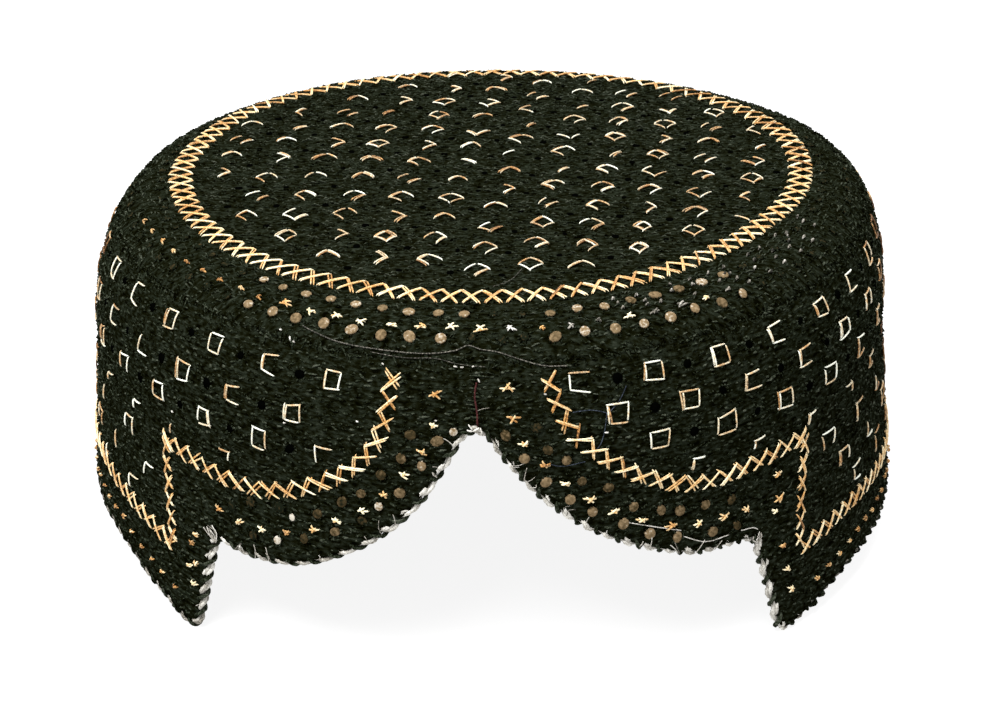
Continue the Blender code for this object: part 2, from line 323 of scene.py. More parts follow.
def add_ramp(nodes, factor, stops):
    """A colour ramp through (position, colour) stops."""
    ramp = add_node(nodes, "ShaderNodeValToRGB", {"Fac": factor})
    while len(ramp.color_ramp.elements) < len(stops):
        ramp.color_ramp.elements.new(0.5)
    for element, (position, colour) in zip(ramp.color_ramp.elements, stops):
        element.position = position
        element.color = (*colour, 1.0)
    return ramp.outputs["Color"]


def add_math(nodes, operation, *inputs):
    """A Math node's result. MULTIPLY_ADD is the first input times the second, plus the third."""
    return add_node(nodes, "ShaderNodeMath", dict(enumerate(inputs)), operation=operation).outputs[0]


def add_noise(nodes, place, scale, detail, roughness=0.5):
    """Noise from 0 to 1, read at the places that a socket gives."""
    inputs = {"Vector": place, "Scale": scale, "Detail": detail, "Roughness": roughness}
    return add_node(nodes, "ShaderNodeTexNoise", inputs).outputs["Fac"]


def add_bump(nodes, shader, height, strength, distance):
    """Relief from a height socket, led into the shader's normal."""
    bump = add_node(nodes, "ShaderNodeBump", {"Height": height, "Strength": strength, "Distance": distance})
    nodes.links.new(bump.outputs["Normal"], shader.inputs["Normal"])


def spread_out(nodes, value, lowest, highest):
    """A socket's values from lowest to highest, stretched over 0 to 1."""
    inputs = {"Value": value, "From Min": lowest, "From Max": highest}
    return add_node(nodes, "ShaderNodeMapRange", inputs).outputs["Result"]


# %% The black embroidered cloth
CLOTH_BLACK = (0.012, 0.015, 0.010)
CLOTH_ROUGHNESS = 0.82
THREAD_SCALE = (420.0, 1500.0, 1.0)
PIT_SCALE = (700.0, 1000.0, 1.0)
LUMP_SCALE = (200.0, 260.0, 1.0)
LUMP_WEIGHT = 0.5
CLOTH_RELIEF = (0.80, 1.75)
CLOTH_BUMP = 0.0006
# tones from the pits to the raised threads: the dark end is painted shade in the pits, the light end
# painted light
CLOTH_TONES = (
    (0.20, (0.0010, 0.0010, 0.0001)),
    (0.42, (0.0045, 0.0050, 0.0016)),
    (0.62, (0.0110, 0.0140, 0.0085)),
    (0.85, (0.0260, 0.0310, 0.0210)),
)


def black_embroidery():
    """Short raised threads running round the cap, with pits between them, on the cloth's own UV map."""
    material, nodes, shader = new_material("black_embroidery", CLOTH_BLACK, CLOTH_ROUGHNESS)
    weave = add_node(nodes, "ShaderNodeUVMap", uv_map="weave").outputs["UV"]

    def layer(scale, detail, roughness=0.6):
        mapped = add_node(nodes, "ShaderNodeMapping", {"Vector": weave, "Scale": scale})
        return add_noise(nodes, mapped.outputs["Vector"], 1.0, detail, roughness)

    threads = layer(THREAD_SCALE, 3.0)
    pits = layer(PIT_SCALE, 2.0, 0.5)
    lumps = layer(LUMP_SCALE, 2.0)
    rough = add_math(nodes, "ADD", threads, pits)
    height = add_math(nodes, "MULTIPLY_ADD", lumps, LUMP_WEIGHT, rough)
    # the colour follows the height: painted shade in the low pits, painted light on the raised threads
    colour = add_ramp(nodes, spread_out(nodes, height, *CLOTH_RELIEF), CLOTH_TONES)
    nodes.links.new(colour, shader.inputs["Base Color"])
    add_bump(nodes, shader, height, 1.0, CLOTH_BUMP)
    shader.inputs["Specular IOR Level"].default_value = 0.0
    return material


CLOTH = black_embroidery()
print("cloth:", CLOTH.name)

# %% [markdown]
# The threads are modelled one by one, so each can have its own tone: every stitch carries a number, its
# tint, that its material reads as an attribute. Gold thread is rough and only here and there bright. It
# gleams at the ends of a stitch, where it turns down into the cloth, and that gleam is a painted
# highlight: the ends are painted brighter and creamier. A polished metal would only mirror the room and
# lose the thread's own tones, so the gold is a ramp of browns whose near white end is painted highlight.
# %% The threads
FLECK_SCALE = 2600.0
BLOTCH_SCALE = 330.0
HUE_SCALE = 800.0
TONE_REACH = 0.80
# painted highlight at the ends of a stitch: the attribute tip lifts the tone and turns the hue towards
# cream
TIP_GLINT = 0.36
TIP_HUE = 0.20
TINT_HUE = 0.50
THREAD_DETAIL = 2.0
THREAD_RELIEF = 0.5
THREAD_BUMP = 0.0001


def thread_material(name, tones, roughness, gloss, flecks, blotches, hues):
    """A thread whose tone changes by the attribute tint, by fine flecks along it and by wide blotches.

    A metal thread also has hues that multiply its tones: the first where it is dull, the last where it
    gleams, which is most of all at the ends of a stitch, where the gleam is a painted highlight.
    """
    material, nodes, shader = new_material(name, tones[len(tones) // 2][1], roughness)
    shader.inputs["Specular IOR Level"].default_value = gloss
    place = add_node(nodes, "ShaderNodeTexCoord").outputs["Object"]
    tint = add_node(nodes, "ShaderNodeAttribute", attribute_name="tint").outputs["Fac"]

    fleck = add_noise(nodes, place, FLECK_SCALE, THREAD_DETAIL)
    blotch = add_noise(nodes, place, BLOTCH_SCALE, THREAD_DETAIL)
    mixed = add_math(nodes, "MULTIPLY_ADD", fleck, flecks, tint)
    mixed = add_math(nodes, "MULTIPLY_ADD", blotch, blotches, mixed)
    middle = (1 + flecks + blotches) / 2
    if hues:
        tip = add_node(nodes, "ShaderNodeAttribute", attribute_name="tip").outputs["Fac"]
        mixed = add_math(nodes, "MULTIPLY_ADD", tip, TIP_GLINT, mixed)
    colour = add_ramp(nodes, spread_out(nodes, mixed, middle - TONE_REACH, middle + TONE_REACH), tones)
    if hues:
        patch = add_noise(nodes, place, HUE_SCALE, THREAD_DETAIL)
        for part, amount in ((tip, TIP_HUE), (tint, TINT_HUE)):
            patch = add_math(nodes, "MULTIPLY_ADD", part, amount, patch)
        inputs = {0: colour, 1: add_ramp(nodes, patch, hues)}
        colour = add_node(nodes, "ShaderNodeVectorMath", inputs, operation="MULTIPLY").outputs["Vector"]
    nodes.links.new(colour, shader.inputs["Base Color"])
    add_bump(nodes, shader, fleck, THREAD_RELIEF, THREAD_BUMP)
    return material


# the near white top of the gold's tones is painted highlight
GOLD_TONES = (
    (0.08, (0.100, 0.060, 0.032)),
    (0.34, (0.43, 0.29, 0.16)),
    (0.60, (0.76, 0.61, 0.41)),
    (0.88, (1.0, 0.97, 0.84)),
)
GOLD_HUES = ((0.60, (1.0, 0.70, 0.34)), (0.96, (0.98, 0.93, 0.76)))
PALE_HUES = ((0.50, (1.0, 0.74, 0.44)), (0.82, (0.87, 0.92, 0.92)))
WHITE_TONES = ((0.10, (0.020, 0.020, 0.015)), (0.40, (0.26, 0.24, 0.20)), (0.85, (0.80, 0.78, 0.72)))
BLACK_TONES = (
    (0.10, (0.0010, 0.0009, 0.0001)),
    (0.30, (0.0048, 0.0052, 0.0014)),
    (0.52, (0.0180, 0.0238, 0.0146)),
    (0.74, (0.0325, 0.0380, 0.0250)),
    (0.95, (0.068, 0.076, 0.056)),
)
RED_TONES = ((0.10, (0.004, 0.001, 0.001)), (0.50, (0.040, 0.009, 0.009)), (0.90, (0.16, 0.060, 0.050)))
BLUE_TONES = ((0.10, (0.003, 0.004, 0.006)), (0.50, (0.017, 0.022, 0.032)), (0.90, (0.13, 0.16, 0.20)))
THREADS = (
    # name, tones, roughness, gloss, how strong its flecks and its blotches are, and its hues
    ("gold_thread", GOLD_TONES, 0.55, 0.30, 1.8, 0.0, GOLD_HUES),
    ("pale_gold_thread", GOLD_TONES, 0.55, 0.30, 1.8, 0.0, PALE_HUES),
    ("white_thread", WHITE_TONES, 0.80, 0.20, 1.5, 0.0, None),
    ("black_thread", BLACK_TONES, 0.85, 0.0, 3.1, 1.8, None),
    ("red_thread", RED_TONES, 0.80, 0.10, 1.5, 0.0, None),
    ("blue_thread", BLUE_TONES, 0.80, 0.10, 1.5, 0.0, None),
)
GOLD, PALE_GOLD, WHITE, BLACK, RED, BLUE = (thread_material(*row) for row in THREADS)
print("threads:", ", ".join(row[0] for row in THREADS))

# %% [markdown]
# The little mirrors are old and under a film of dust, so they reflect no picture. Their reflection is
# painted instead: their material is a ramp of browns, and each disc's painted reflection, pale on only
# some of them, is set disc by disc with the same tint.
# %% The mirrors, and the painted shade of a needle hole
# from near black to near white: the pale end is the mirrors' painted reflection
MIRROR_TONES = (
    (0.12, (0.007, 0.009, 0.005)),
    (0.40, (0.048, 0.034, 0.015)),
    (0.80, (0.22, 0.155, 0.085)),
    (1.00, (0.54, 0.50, 0.42)),
)
FILM_SCALE = 1500.0
FILM_DETAIL = 3.0
FILM_AMOUNT = 0.95
FILM_BASE = -0.37
MIRROR_BROWN = (0.36, 0.29, 0.22)
MIRROR_ROUGHNESS = 0.55


def mirror_material():
    """Small discs of old mirror under a film of dust, whose painted reflection follows the attribute tint.
    """
    material, nodes, shader = new_material("old_mirror", MIRROR_BROWN, MIRROR_ROUGHNESS)
    shader.inputs["Specular IOR Level"].default_value = 0.0
    place = add_node(nodes, "ShaderNodeTexCoord").outputs["Object"]
    film = add_noise(nodes, place, FILM_SCALE, FILM_DETAIL)
    tint = add_node(nodes, "ShaderNodeAttribute", attribute_name="tint").outputs["Fac"]
    dusty = add_math(nodes, "MULTIPLY_ADD", film, FILM_AMOUNT, FILM_BASE)
    mixed = add_math(nodes, "ADD", dusty, tint)
    nodes.links.new(add_ramp(nodes, mixed, MIRROR_TONES), shader.inputs["Base Color"])
    return material


MIRROR = mirror_material()
# the shade inside a needle hole, painted nearly black on a flat disc
HOLE_SHADE_BLACK = (0.0006, 0.0007, 0.0005)
HOLE_SHADE, _, hole_shader = new_material("painted_hole_shade", HOLE_SHADE_BLACK, 1.0)
hole_shader.inputs["Specular IOR Level"].default_value = 0.0
print("discs:", MIRROR.name, "and", HOLE_SHADE.name)

# %% [markdown]
# ## Camera, light and floor
# The camera stands where the photograph's did: a little over the cap, looking down on the crown. A wide
# soft lamp above the front and a weaker one above the back light the crown more than the sides, and a
# white room fills the shadows. The floor glows a little of itself, which keeps it pale all over and
# leaves a soft shadow under the cap.
# %% Camera
CAMERA_DISTANCE = 0.620
CAMERA_ELEVATION = math.radians(21.2)
CAMERA_PITCH = math.radians(25.055)
CAMERA_YAW = math.radians(-0.051)
CAMERA_LENS_MM = 98.17
CAMERA_SENSOR_MM = 36.0

crown_middle = Vector((AXIS.x, AXIS.y, AXIS.z + TOP_HEIGHT))
reach = Vector((0.0, -math.cos(CAMERA_ELEVATION), math.sin(CAMERA_ELEVATION))) * CAMERA_DISTANCE
bpy.ops.object.camera_add(
    location=crown_middle + reach, rotation=(math.pi / 2 - CAMERA_PITCH, 0.0, -CAMERA_YAW)
)
camera = bpy.context.object
camera.name = "camera"
camera.data.lens = CAMERA_LENS_MM
camera.data.sensor_width = CAMERA_SENSOR_MM
bpy.context.scene.camera = camera
print("camera at", [round(value, 4) for value in camera.location])


# %% Light
def add_soft_lamp(name, location, size, power):
    """A square area lamp aimed at the middle of the crown."""
    bpy.ops.object.light_add(type="AREA", location=location)
    lamp = bpy.context.object
    lamp.name = name
    lamp.data.size = size
    lamp.data.energy = power
    lamp.rotation_euler = (crown_middle - lamp.location).to_track_quat("-Z", "Y").to_euler()
    print(f"{name}: {power} W")


PURE_WHITE = (1.0, 1.0, 1.0, 1.0)
ROOM_STRENGTH = 0.5
LAMPS = (
    # name, place, size in metres, power in watts
    ("key_lamp", (-0.30, -0.45, 1.10), 0.7, 24.0),
    ("back_lamp", (0.30, 0.70, 0.95), 0.6, 9.0),
)
for lamp_row in LAMPS:
    add_soft_lamp(*lamp_row)
world = bpy.data.worlds.new("white_room")
world.use_nodes = True
room = world.node_tree.nodes["Background"]
room.inputs["Color"].default_value = PURE_WHITE
room.inputs["Strength"].default_value = ROOM_STRENGTH
bpy.context.scene.world = world
bpy.context.scene.view_settings.view_transform = "Standard"

# %% Floor
FLOOR_SIZE = 12.0
FLOOR_GREY = (0.22, 0.22, 0.22)
FLOOR_ROUGHNESS = 0.95
FLOOR_GLOW = 0.89
bpy.ops.mesh.primitive_plane_add(size=FLOOR_SIZE, location=(0.0, 0.0, 0.0))
floor = bpy.context.object
floor.name = "floor"
FLOOR, _, floor_shader = new_material("pale_floor", FLOOR_GREY, FLOOR_ROUGHNESS)
floor_shader.inputs["Emission Color"].default_value = PURE_WHITE
floor_shader.inputs["Emission Strength"].default_value = FLOOR_GLOW
floor.data.materials.append(FLOOR)
print(f"{floor.name}: {FLOOR_SIZE:.0f} m wide")

# %% [markdown]
# ## The cloth
# The crown is one disc and the band one strip, so each starts as a plain grid. Every vertex of the grid
# has a place on the cloth, and a function lays it on the cap. Close embroidery is lumpy, so the
# vertices also rise and sink a little by noise, and Solidify gives the cloth its wall.
# %% Finish a flat grid as cloth
LUMPS = (
    # how far the cloth rises and sinks in metres, and the scale of the noise
    (0.00016, 260.0),
    (0.00012, 620.0),
)


def lumpy(points, out):
    """Points raised and sunk along their normals by noise at two scales."""
    rise = np.zeros(len(points))
    for amount, scale in LUMPS:
        rise += [amount * noise.noise(Vector(point * scale)) for point in points]
    return points + rise[:, None] * out


def lay_cloth(cloth, azimuth, way, node):
    """Lay a flat grid's vertices on the cap and give it its wall, its weave map and its material."""
    _, _, out = skin_axes(azimuth, way)
    points = lumpy(skin(azimuth, way), out)
    data = cloth.data
    data.vertices.foreach_set("co", points.astype(np.float32).ravel())
    round_way = np.radians(azimuth) * SHOULDER_RADIUS
    corner_vertex = np.array([loop.vertex_index for loop in data.loops])
    weave = data.uv_layers.new(name="weave")
    uv = np.stack([round_way[corner_vertex], way[corner_vertex]], axis=1)
    if node == "crown":
        uv = points[corner_vertex][:, :2]
    weave.data.foreach_set("uv", uv.astype(np.float32).ravel())
    data.update()
    middle = Vector((AXIS.x, AXIS.y, AXIS.z + TOP_HEIGHT / 2))
    facing = sum((face.center - middle).dot(face.normal) for face in data.polygons)
    if facing < 0:
        data.flip_normals()
    data.shade_smooth()
    data.materials.append(CLOTH)
    bpy.context.view_layer.objects.active = cloth
    wall = cloth.modifiers.new("Wall", "SOLIDIFY")
    wall.thickness = CLOTH_WALL
    wall.offset = -1.0
    bpy.ops.object.modifier_apply(modifier=wall.name)
    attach(cloth, "root")
    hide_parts(node)
    print(f"{cloth.name}: {len(cloth.data.polygons)} faces")


# %% The crown
CROWN_CELLS = 124
SEAM_GAP = 0.00004


def make_crown():
    """The round top: a square grid eased into a disc, with even cells and no pole."""
    bpy.ops.object.select_all(action="DESELECT")
    bpy.ops.mesh.primitive_grid_add(x_subdivisions=CROWN_CELLS, y_subdivisions=CROWN_CELLS, size=2.0)
    crown = bpy.context.object
    crown.name = "crown_cloth"
    places = np.array([vert.co[:2] for vert in crown.data.vertices])
    ring = np.abs(places).max(axis=1)
    across = np.abs(places[:, 0]) > np.abs(places[:, 1])
    wide = np.where(across, places[:, 0], places[:, 1])
    narrow = np.where(across, places[:, 1], places[:, 0])
    share = np.divide(narrow, wide, out=np.zeros(len(places)), where=wide != 0)
    turn = np.where(across, 45 * share, 90 - 45 * share) + np.where(wide < 0, 180, 0)
    lay_cloth(crown, turn, ring * (SEAM_WAY - SEAM_GAP / 2), "crown")
    return crown


crown = make_crown()

# %% [markdown]
# The band is cut out of a rectangle by the hem line, as a tailor cuts it. Vertices below the hem are
# deleted, and those left on the cut edge are drawn onto the hem line, where the cord covers them. A
# boolean cut would leave long thin faces there, and the even grid of this way stays good for lumps.
# %% The band
BAND_COLUMNS = 470
BAND_ROWS = 60
SAME_COLUMN = 1e-6
SAME_AZIMUTH = 1e-3


def over_hem(flat):
    """Whether flat points lie in the cloth: a line straight up crosses the hem an even number of times."""
    inside = np.ones(len(flat), bool)
    laps = np.vstack([HEM + ONCE_ROUND, HEM, HEM - ONCE_ROUND, HEM[:1] - 2 * ONCE_ROUND])
    start, end = laps[:-1], laps[1:]
    for column in np.unique(np.round(flat[:, 0], 7)):
        chosen = np.abs(flat[:, 0] - column) < SAME_COLUMN
        crossed = (start[:, 0] > column) != (end[:, 0] > column)
        low, high = start[crossed], end[crossed]
        part = (column - low[:, 0]) / (high[:, 0] - low[:, 0])
        heights = low[:, 1] + part * (high[:, 1] - low[:, 1])
        crossings = (heights[None, :] > flat[chosen, 1][:, None]).sum(axis=1)
        inside[chosen] = crossings % 2 == 0
    return inside


def make_band():
    """The side strip, from the crown seam down to the hem, with its two ends butted at the notch."""
    bpy.ops.object.select_all(action="DESELECT")
    bpy.ops.mesh.primitive_grid_add(x_subdivisions=BAND_COLUMNS, y_subdivisions=BAND_ROWS, size=1.0)
    band = bpy.context.object
    band.name = "band_cloth"
    places = np.array([vert.co[:2] for vert in band.data.vertices]) + 0.5
    gap = math.degrees(SEAM_GAP / HEM_RADIUS)
    azimuth = NOTCH_AZIMUTH - 360 + gap / 2 + places[:, 0] * (360 - gap)
    way = SEAM_WAY + SEAM_GAP / 2 + (1 - places[:, 1]) * (PROFILE_END - SEAM_WAY)
    flat = np.stack([np.radians(azimuth) * HEM_RADIUS, np.interp(way, PROFILE_WAY, PROFILE_HEIGHT)], axis=1)
    band.data.vertices.foreach_set("co", np.column_stack([azimuth, way, np.zeros(len(way))]).ravel())
    keep = over_hem(flat)
    bpy.ops.object.mode_set(mode="EDIT")
    bpy.ops.mesh.select_all(action="DESELECT")
    bpy.ops.object.mode_set(mode="OBJECT")
    for vert, kept in zip(band.data.vertices, keep):
        vert.select = not kept
    bpy.ops.object.mode_set(mode="EDIT")
    bpy.ops.mesh.delete(type="VERT")
    bpy.ops.object.mode_set(mode="OBJECT")
    azimuth, way = draw_edge_to_hem(band)
    lay_cloth(band, azimuth, way, "band")
    return band


def draw_edge_to_hem(band):
    """Every vertex's azimuth and distance, with those of the cut edge moved onto the hem line."""
    places = np.array([vert.co[:2] for vert in band.data.vertices])
    mesh = bmesh.new()
    mesh.from_mesh(band.data)
    edge = np.array([vert.is_boundary for vert in mesh.verts])
    mesh.free()
    top = places[:, 1] < SEAM_WAY + SEAM_GAP
    ends = np.abs(places[:, 0] - places[:, 0].min()) < SAME_AZIMUTH
    ends |= np.abs(places[:, 0] - places[:, 0].max()) < SAME_AZIMUTH
    laps = np.vstack([HEM + ONCE_ROUND, HEM, HEM - ONCE_ROUND])
    for index in np.nonzero(edge & ~top & ~ends)[0]:
        azimuth, way = places[index]
        here = np.array((math.radians(azimuth) * HEM_RADIUS, np.interp(way, PROFILE_WAY, PROFILE_HEIGHT)))
        nearest = laps[np.linalg.norm(laps - here, axis=1).argmin()]
        places[index] = flat_to_cap(nearest)
    return places[:, 0], places[:, 1]


band = make_band()

# %% [markdown]
# ## Stitches
# One stitch is modelled: a short round thread that comes up through the cloth, lies on it and
# goes down again. Its length is one unit along X and its thickness one unit across, so every place on
# the cap can take a copy of it at its own length. The copies are joined in one mesh for each kind of
# stitching. There are tens of thousands of them, so a stitch has only a few faces.
# %% The pattern stitches: a full one for gold, and a fine one for the thousands of black ones
STITCH_SECTIONS = (
    # x, height, width
    (-0.50, -0.35, 0.45),
    (-0.43, 0.22, 0.85),
    (-0.18, 0.52, 1.00),
    (0.18, 0.52, 1.00),
    (0.43, 0.22, 0.85),
    (0.50, -0.35, 0.45),
)
STITCH_SIDES = 5
FINE_SECTIONS = (
    (-0.50, -0.35, 0.50),
    (-0.05, 0.40, 1.10),
    (0.50, -0.35, 0.50),
)
FINE_SIDES = 3


def model_stitch(name, sections, sides):
    """A thread along X, extruded from section to section."""
    bpy.ops.object.select_all(action="DESELECT")
    x, height, width = sections[0]
    facing_x = (0, math.pi / 2, 0)
    bpy.ops.mesh.primitive_circle_add(
        vertices=sides, radius=width / 2, fill_type="NGON", location=(x, 0, height), rotation=facing_x
    )
    stitch = bpy.context.object
    stitch.name = name
    bpy.ops.object.transform_apply(location=True, rotation=True, scale=True)
    bpy.ops.object.mode_set(mode="EDIT")
    bpy.ops.mesh.select_all(action="SELECT")
    for before, after in zip(sections, sections[1:]):
        step = (after[0] - before[0], 0, after[1] - before[1])
        bpy.ops.mesh.extrude_region_move(TRANSFORM_OT_translate={"value": step})
        grow = after[2] / before[2]
        bpy.ops.transform.resize(value=(1, grow, grow), center_override=(after[0], 0, after[1]))
    bpy.ops.mesh.select_all(action="SELECT")
    bpy.ops.mesh.normals_make_consistent(inside=False)
    bpy.ops.object.mode_set(mode="OBJECT")
    return stitch


# %% Copies of a pattern, joined in one piece
SEED = 7
PLAIN_TINTS = (0.25, 0.75)
SORT_DIGITS = 5
rng = np.random.default_rng(SEED)


def take_pattern(pattern):
    """A modelled pattern's corners and faces, with the pattern itself removed.

    An extrusion can leave them in another order in each run, so they are sorted by place.
    """
    places = [tuple(round(value, SORT_DIGITS) for value in vert.co) for vert in pattern.data.vertices]
    order = sorted(range(len(places)), key=lambda index: places[index])
    rank = {index: number for number, index in enumerate(order)}
    corners = np.array([(*pattern.data.vertices[index].co, 1.0) for index in order])
    faces = []
    for face in pattern.data.polygons:
        loop = [rank[index] for index in face.vertices]
        first = loop.index(min(loop))
        faces.append(tuple(loop[first:] + loop[:first]))
    bpy.data.objects.remove(pattern)
    return corners, sorted(faces)


def sew(name, pattern, places, material, tints=None):
    """One piece with a copy of the pattern at each place, a 4 by 4 matrix, and its tint for the finish.

    The attribute tip grows from 0 in the middle of a stitch to 1 at its two ends.
    """
    corners, faces = pattern
    places = np.array(places)
    points = np.einsum("kij,vj->kvi", places, corners)[:, :, :3].reshape(-1, 3)
    copies = []
    for first in range(0, len(points), len(corners)):
        copies += [tuple(first + index for index in face) for face in faces]
    data = bpy.data.meshes.new(name)
    data.from_pydata(points.tolist(), [], copies)
    if tints is None:
        tints = rng.uniform(*PLAIN_TINTS, len(places))
    tint = data.attributes.new("tint", "FLOAT", "POINT")
    tint.data.foreach_set("value", np.repeat(tints, len(corners)).astype(np.float32))
    tip = data.attributes.new("tip", "FLOAT", "POINT")
    tip.data.foreach_set("value", np.tile(abs(2 * corners[:, 0]), len(places)).astype(np.float32))
    data.shade_smooth()
    data.materials.append(material)
    piece = bpy.data.objects.new(name, data)
    bpy.context.scene.collection.objects.link(piece)
    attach(piece, "root")
    triangles = sum(len(face) - 2 for face in faces) * len(places)
    print(f"{name}: {len(places)} copies, {triangles} triangles")


# %% A place for a stitch between two points of the cloth
def stitch_places(start, end, thread, lift=0.0):
    """Matrices that lay the unit stitch from start to end, each an array of (azimuth, way) rows."""
    start, end = np.asarray(start, float), np.asarray(end, float)
    first, last = skin(start[:, 0], start[:, 1]), skin(end[:, 0], end[:, 1])
    out = skin_axes(start[:, 0], start[:, 1])[2] + skin_axes(end[:, 0], end[:, 1])[2]
    out /= np.linalg.norm(out, axis=1, keepdims=True)
    length = last - first
    side = np.cross(out, length)
    side /= np.linalg.norm(side, axis=1, keepdims=True)
    places = np.zeros((len(start), 4, 4))
    places[:, :3, 0] = length
    places[:, :3, 1] = side * thread
    places[:, :3, 2] = out * thread
    places[:, :3, 3] = (first + last) / 2 + out * np.reshape(lift, (-1, 1))
    places[:, 3, 3] = 1.0
    return places


STITCH = take_pattern(model_stitch("stitch", STITCH_SECTIONS, STITCH_SIDES))
FINE_STITCH = take_pattern(model_stitch("fine_stitch", FINE_SECTIONS, FINE_SIDES))
print("faces of a stitch:", len(STITCH[1]), "and of a fine one:", len(FINE_STITCH[1]))

# %% [markdown]
# ## The gold ring
# A ring of herringbone stitch marks the edge of the flat top. Each leg is a doubled thread. The legs
# cross a little nearer the ring's outer edge, and their inner ends meet those of the next cross. One
# leg of each cross catches the light and the other hardly does, and this is painted into their tones:
# the lit leg gets a painted highlight and the other a painted shade. The same stitch makes the gold line
# of the band, so it is a function of any line.
# %% Herringbone along a line
GOLD_THREAD = 0.00041
STRAND_GAPS = {1: 0.00034, -1: 0.00060}
GOLD_LIFT = 0.00024
UPPER_LIFT = 0.45
# tones of the leg that catches the light, a painted highlight, and of the other leg, a painted shade
LIT_LEG_TONES = (0.30, 0.72)
SHADED_LEG_TONES = (0.0, 0.46)
TONE_SPREAD = 0.12


def herringbone(line_point, count, width, lows, high, lit_leans, slip=0.00010):
    """Legs of a herringbone, as stitch ends, lifts and tints.

    line_point(index, along, across) gives the (azimuth, way) of a point near a cross. lows and high are
    how far the legs reach along the line on the outer and the inner side of the cross, and the leans
    tell which leg of each cross catches the light: that leg's tone is a painted highlight, and the
    other's a painted shade.
    """
    starts, ends, lifts, tints = [], [], [], []
    for index, lit_lean in zip(range(count), lit_leans):
        for lean, low in zip((1, -1), lows):
            tone = rng.uniform(*(LIT_LEG_TONES if lean == lit_lean else SHADED_LEG_TONES))
            for strand in (-0.5, 0.5):
                shift = strand * STRAND_GAPS[lean]
                slips = rng.normal(0, slip, 4)
                starts.append(line_point(index, -lean * low + shift + slips[0], width / 2 + slips[1]))
                ends.append(line_point(index, lean * high + shift + slips[2], -width / 2 + slips[3]))
                lifts.append(GOLD_LIFT + GOLD_THREAD * (UPPER_LIFT if lean > 0 else 0.0))
                tints.append(tone + rng.normal(0, TONE_SPREAD))
    return np.array(starts), np.array(ends), np.array(lifts), np.array(tints)


# %% The ring
RING_WAYS = (
    # azimuth, and distance from the crown's middle in mm: it was laid by eye, and lies a little back
    (-180, 75.8),
    (-140, 75.8),
    (-128, 75.2),
    (-119, 73.8),
    (-110, 72.6),
    (-90, 72.2),
    (-80, 71.3),
    (-60, 70.7),
    (-40, 69.9),
    (-20, 68.7),
    (0, 68.3),
    (20, 67.8),
    (40, 67.1),
    (60, 67.6),
    (70, 68.8),
    (80, 70.2),
    (87, 70.6),
    (100, 71.8),
    (128, 73.1),
    (143, 74.4),
    (158, 75.6),
    (180, 75.8),
)
RING_WIDTH = 0.0056
RING_COUNT = 98
RING_MEAN_RADIUS = 0.0705
RING_PITCH = 2 * math.pi * RING_MEAN_RADIUS / RING_COUNT
RING_LOW, RING_HIGH = 0.36, 0.52


def ring_way(azimuth):
    return np.interp((azimuth + 180) % 360 - 180, *np.array(RING_WAYS).T) / 1000


def ring_point(index, along, across):
    azimuth = 360 * index / RING_COUNT
    azimuth += math.degrees(along / ring_way(azimuth))
    return azimuth, ring_way(azimuth) + across


low, high = RING_PITCH * RING_LOW, RING_PITCH * RING_HIGH
# the leg that gets the painted highlight is swapped between the right and the left half of the ring
lit_leans = [-1 if index < RING_COUNT / 2 else 1 for index in range(RING_COUNT)]
starts, ends, lifts, tints = herringbone(ring_point, RING_COUNT, RING_WIDTH, (low, low), high, lit_leans)
sew("gold_ring", STITCH, stitch_places(starts, ends, GOLD_THREAD, lifts), GOLD, tints)

# %% [markdown]
# ## Gold squares of the crown
# The crown carries a grid of small squares that stand on one corner. It was sewn by hand, so many lack
# a side or two, and many have one sewn twice. A rule would make them too even, so they are charted one
# by one, row by row. The chart gives each square's sides as seen from the front: a and b meet at the back
# corner, c and d at the front one. A capital is a doubled side.
# %% The chart of the crown's squares, by row from the front
CROWN_CHART = (
    (0, 0, "AB BC ADb abC abcd Ab"),
    (1, -1, "Abcd bc ABCD aCb Abc aBC ABc ABCd"),
    (2, -2, "Adb aCd abd Cb Ab aCd Abcd abC ADbc abcd"),
    (3, -2, "aC aBd bCa Abd cdab AB aC ADb Cb ABc d"),
    (4, -3, "bC adb ab AB aC Ab Cb ADb abC ABc acd Ad"),
    (5, -3, "Ab Bc Ab AB ADb B AB C ADb adc AbC abCd"),
    (6, -3, "aC Ab bC AbcD bC Ab a Adb C ABcd aC Dbc"),
    (7, -3, "ab C Ab Abc Abc CD Abd cd ABcd Cb AB C"),
    (8, -2, "Ad aC A abCd Ab C Abc aBC abcd Ca ad"),
    (9, -1, "Ab bC Abcd bCd ad C abC CD abcd"),
    (10, 0, "Ab BC AB aC ab aC ac"),
    (11, 1, "a bC Ab c"),
)
CROWN_PITCH = 0.011035
CROWN_TURN = -0.130
CROWN_SHIFT = (0.00422, 0.00299)
CROWN_MIDDLE = (3, 5)
SLIPPED_COLUMN = 3
COLUMN_SLIP = -0.36
LEFT_SAG = 0.14
RIGHT_SAG = 0.10
SAG_START = 0.034


def crown_place(column, row):
    """The x and y, from the crown's middle, of a place in the grid of squares."""
    across = CROWN_PITCH * (column - CROWN_MIDDLE[0])
    back = CROWN_PITCH * (row - CROWN_MIDDLE[1])
    cos, sin = math.cos(CROWN_TURN), math.sin(CROWN_TURN)
    x, y = cos * across - sin * back + CROWN_SHIFT[0], sin * across + cos * back + CROWN_SHIFT[1]
    sag = LEFT_SAG * max(0.0, -SAG_START - x) * (y < 0) + RIGHT_SAG * max(0.0, x - SAG_START)
    return x, y - sag


def polar(x, y):
    """Azimuth and distance from the middle, for a point of the flat top."""
    return math.degrees(math.atan2(x, -y)), math.hypot(x, y)


# %% Sides of a square, as stitches
SQUARE_THREAD = 0.00040
DOUBLE_GAP = 0.00042
SIDE_SLIP = 0.00014
SQUARE_SLIP = 0.00022
WEAR = (1.1, 1.3)
DOUBLED_DIM = 0.18
BAND_GLEAM = 0.12


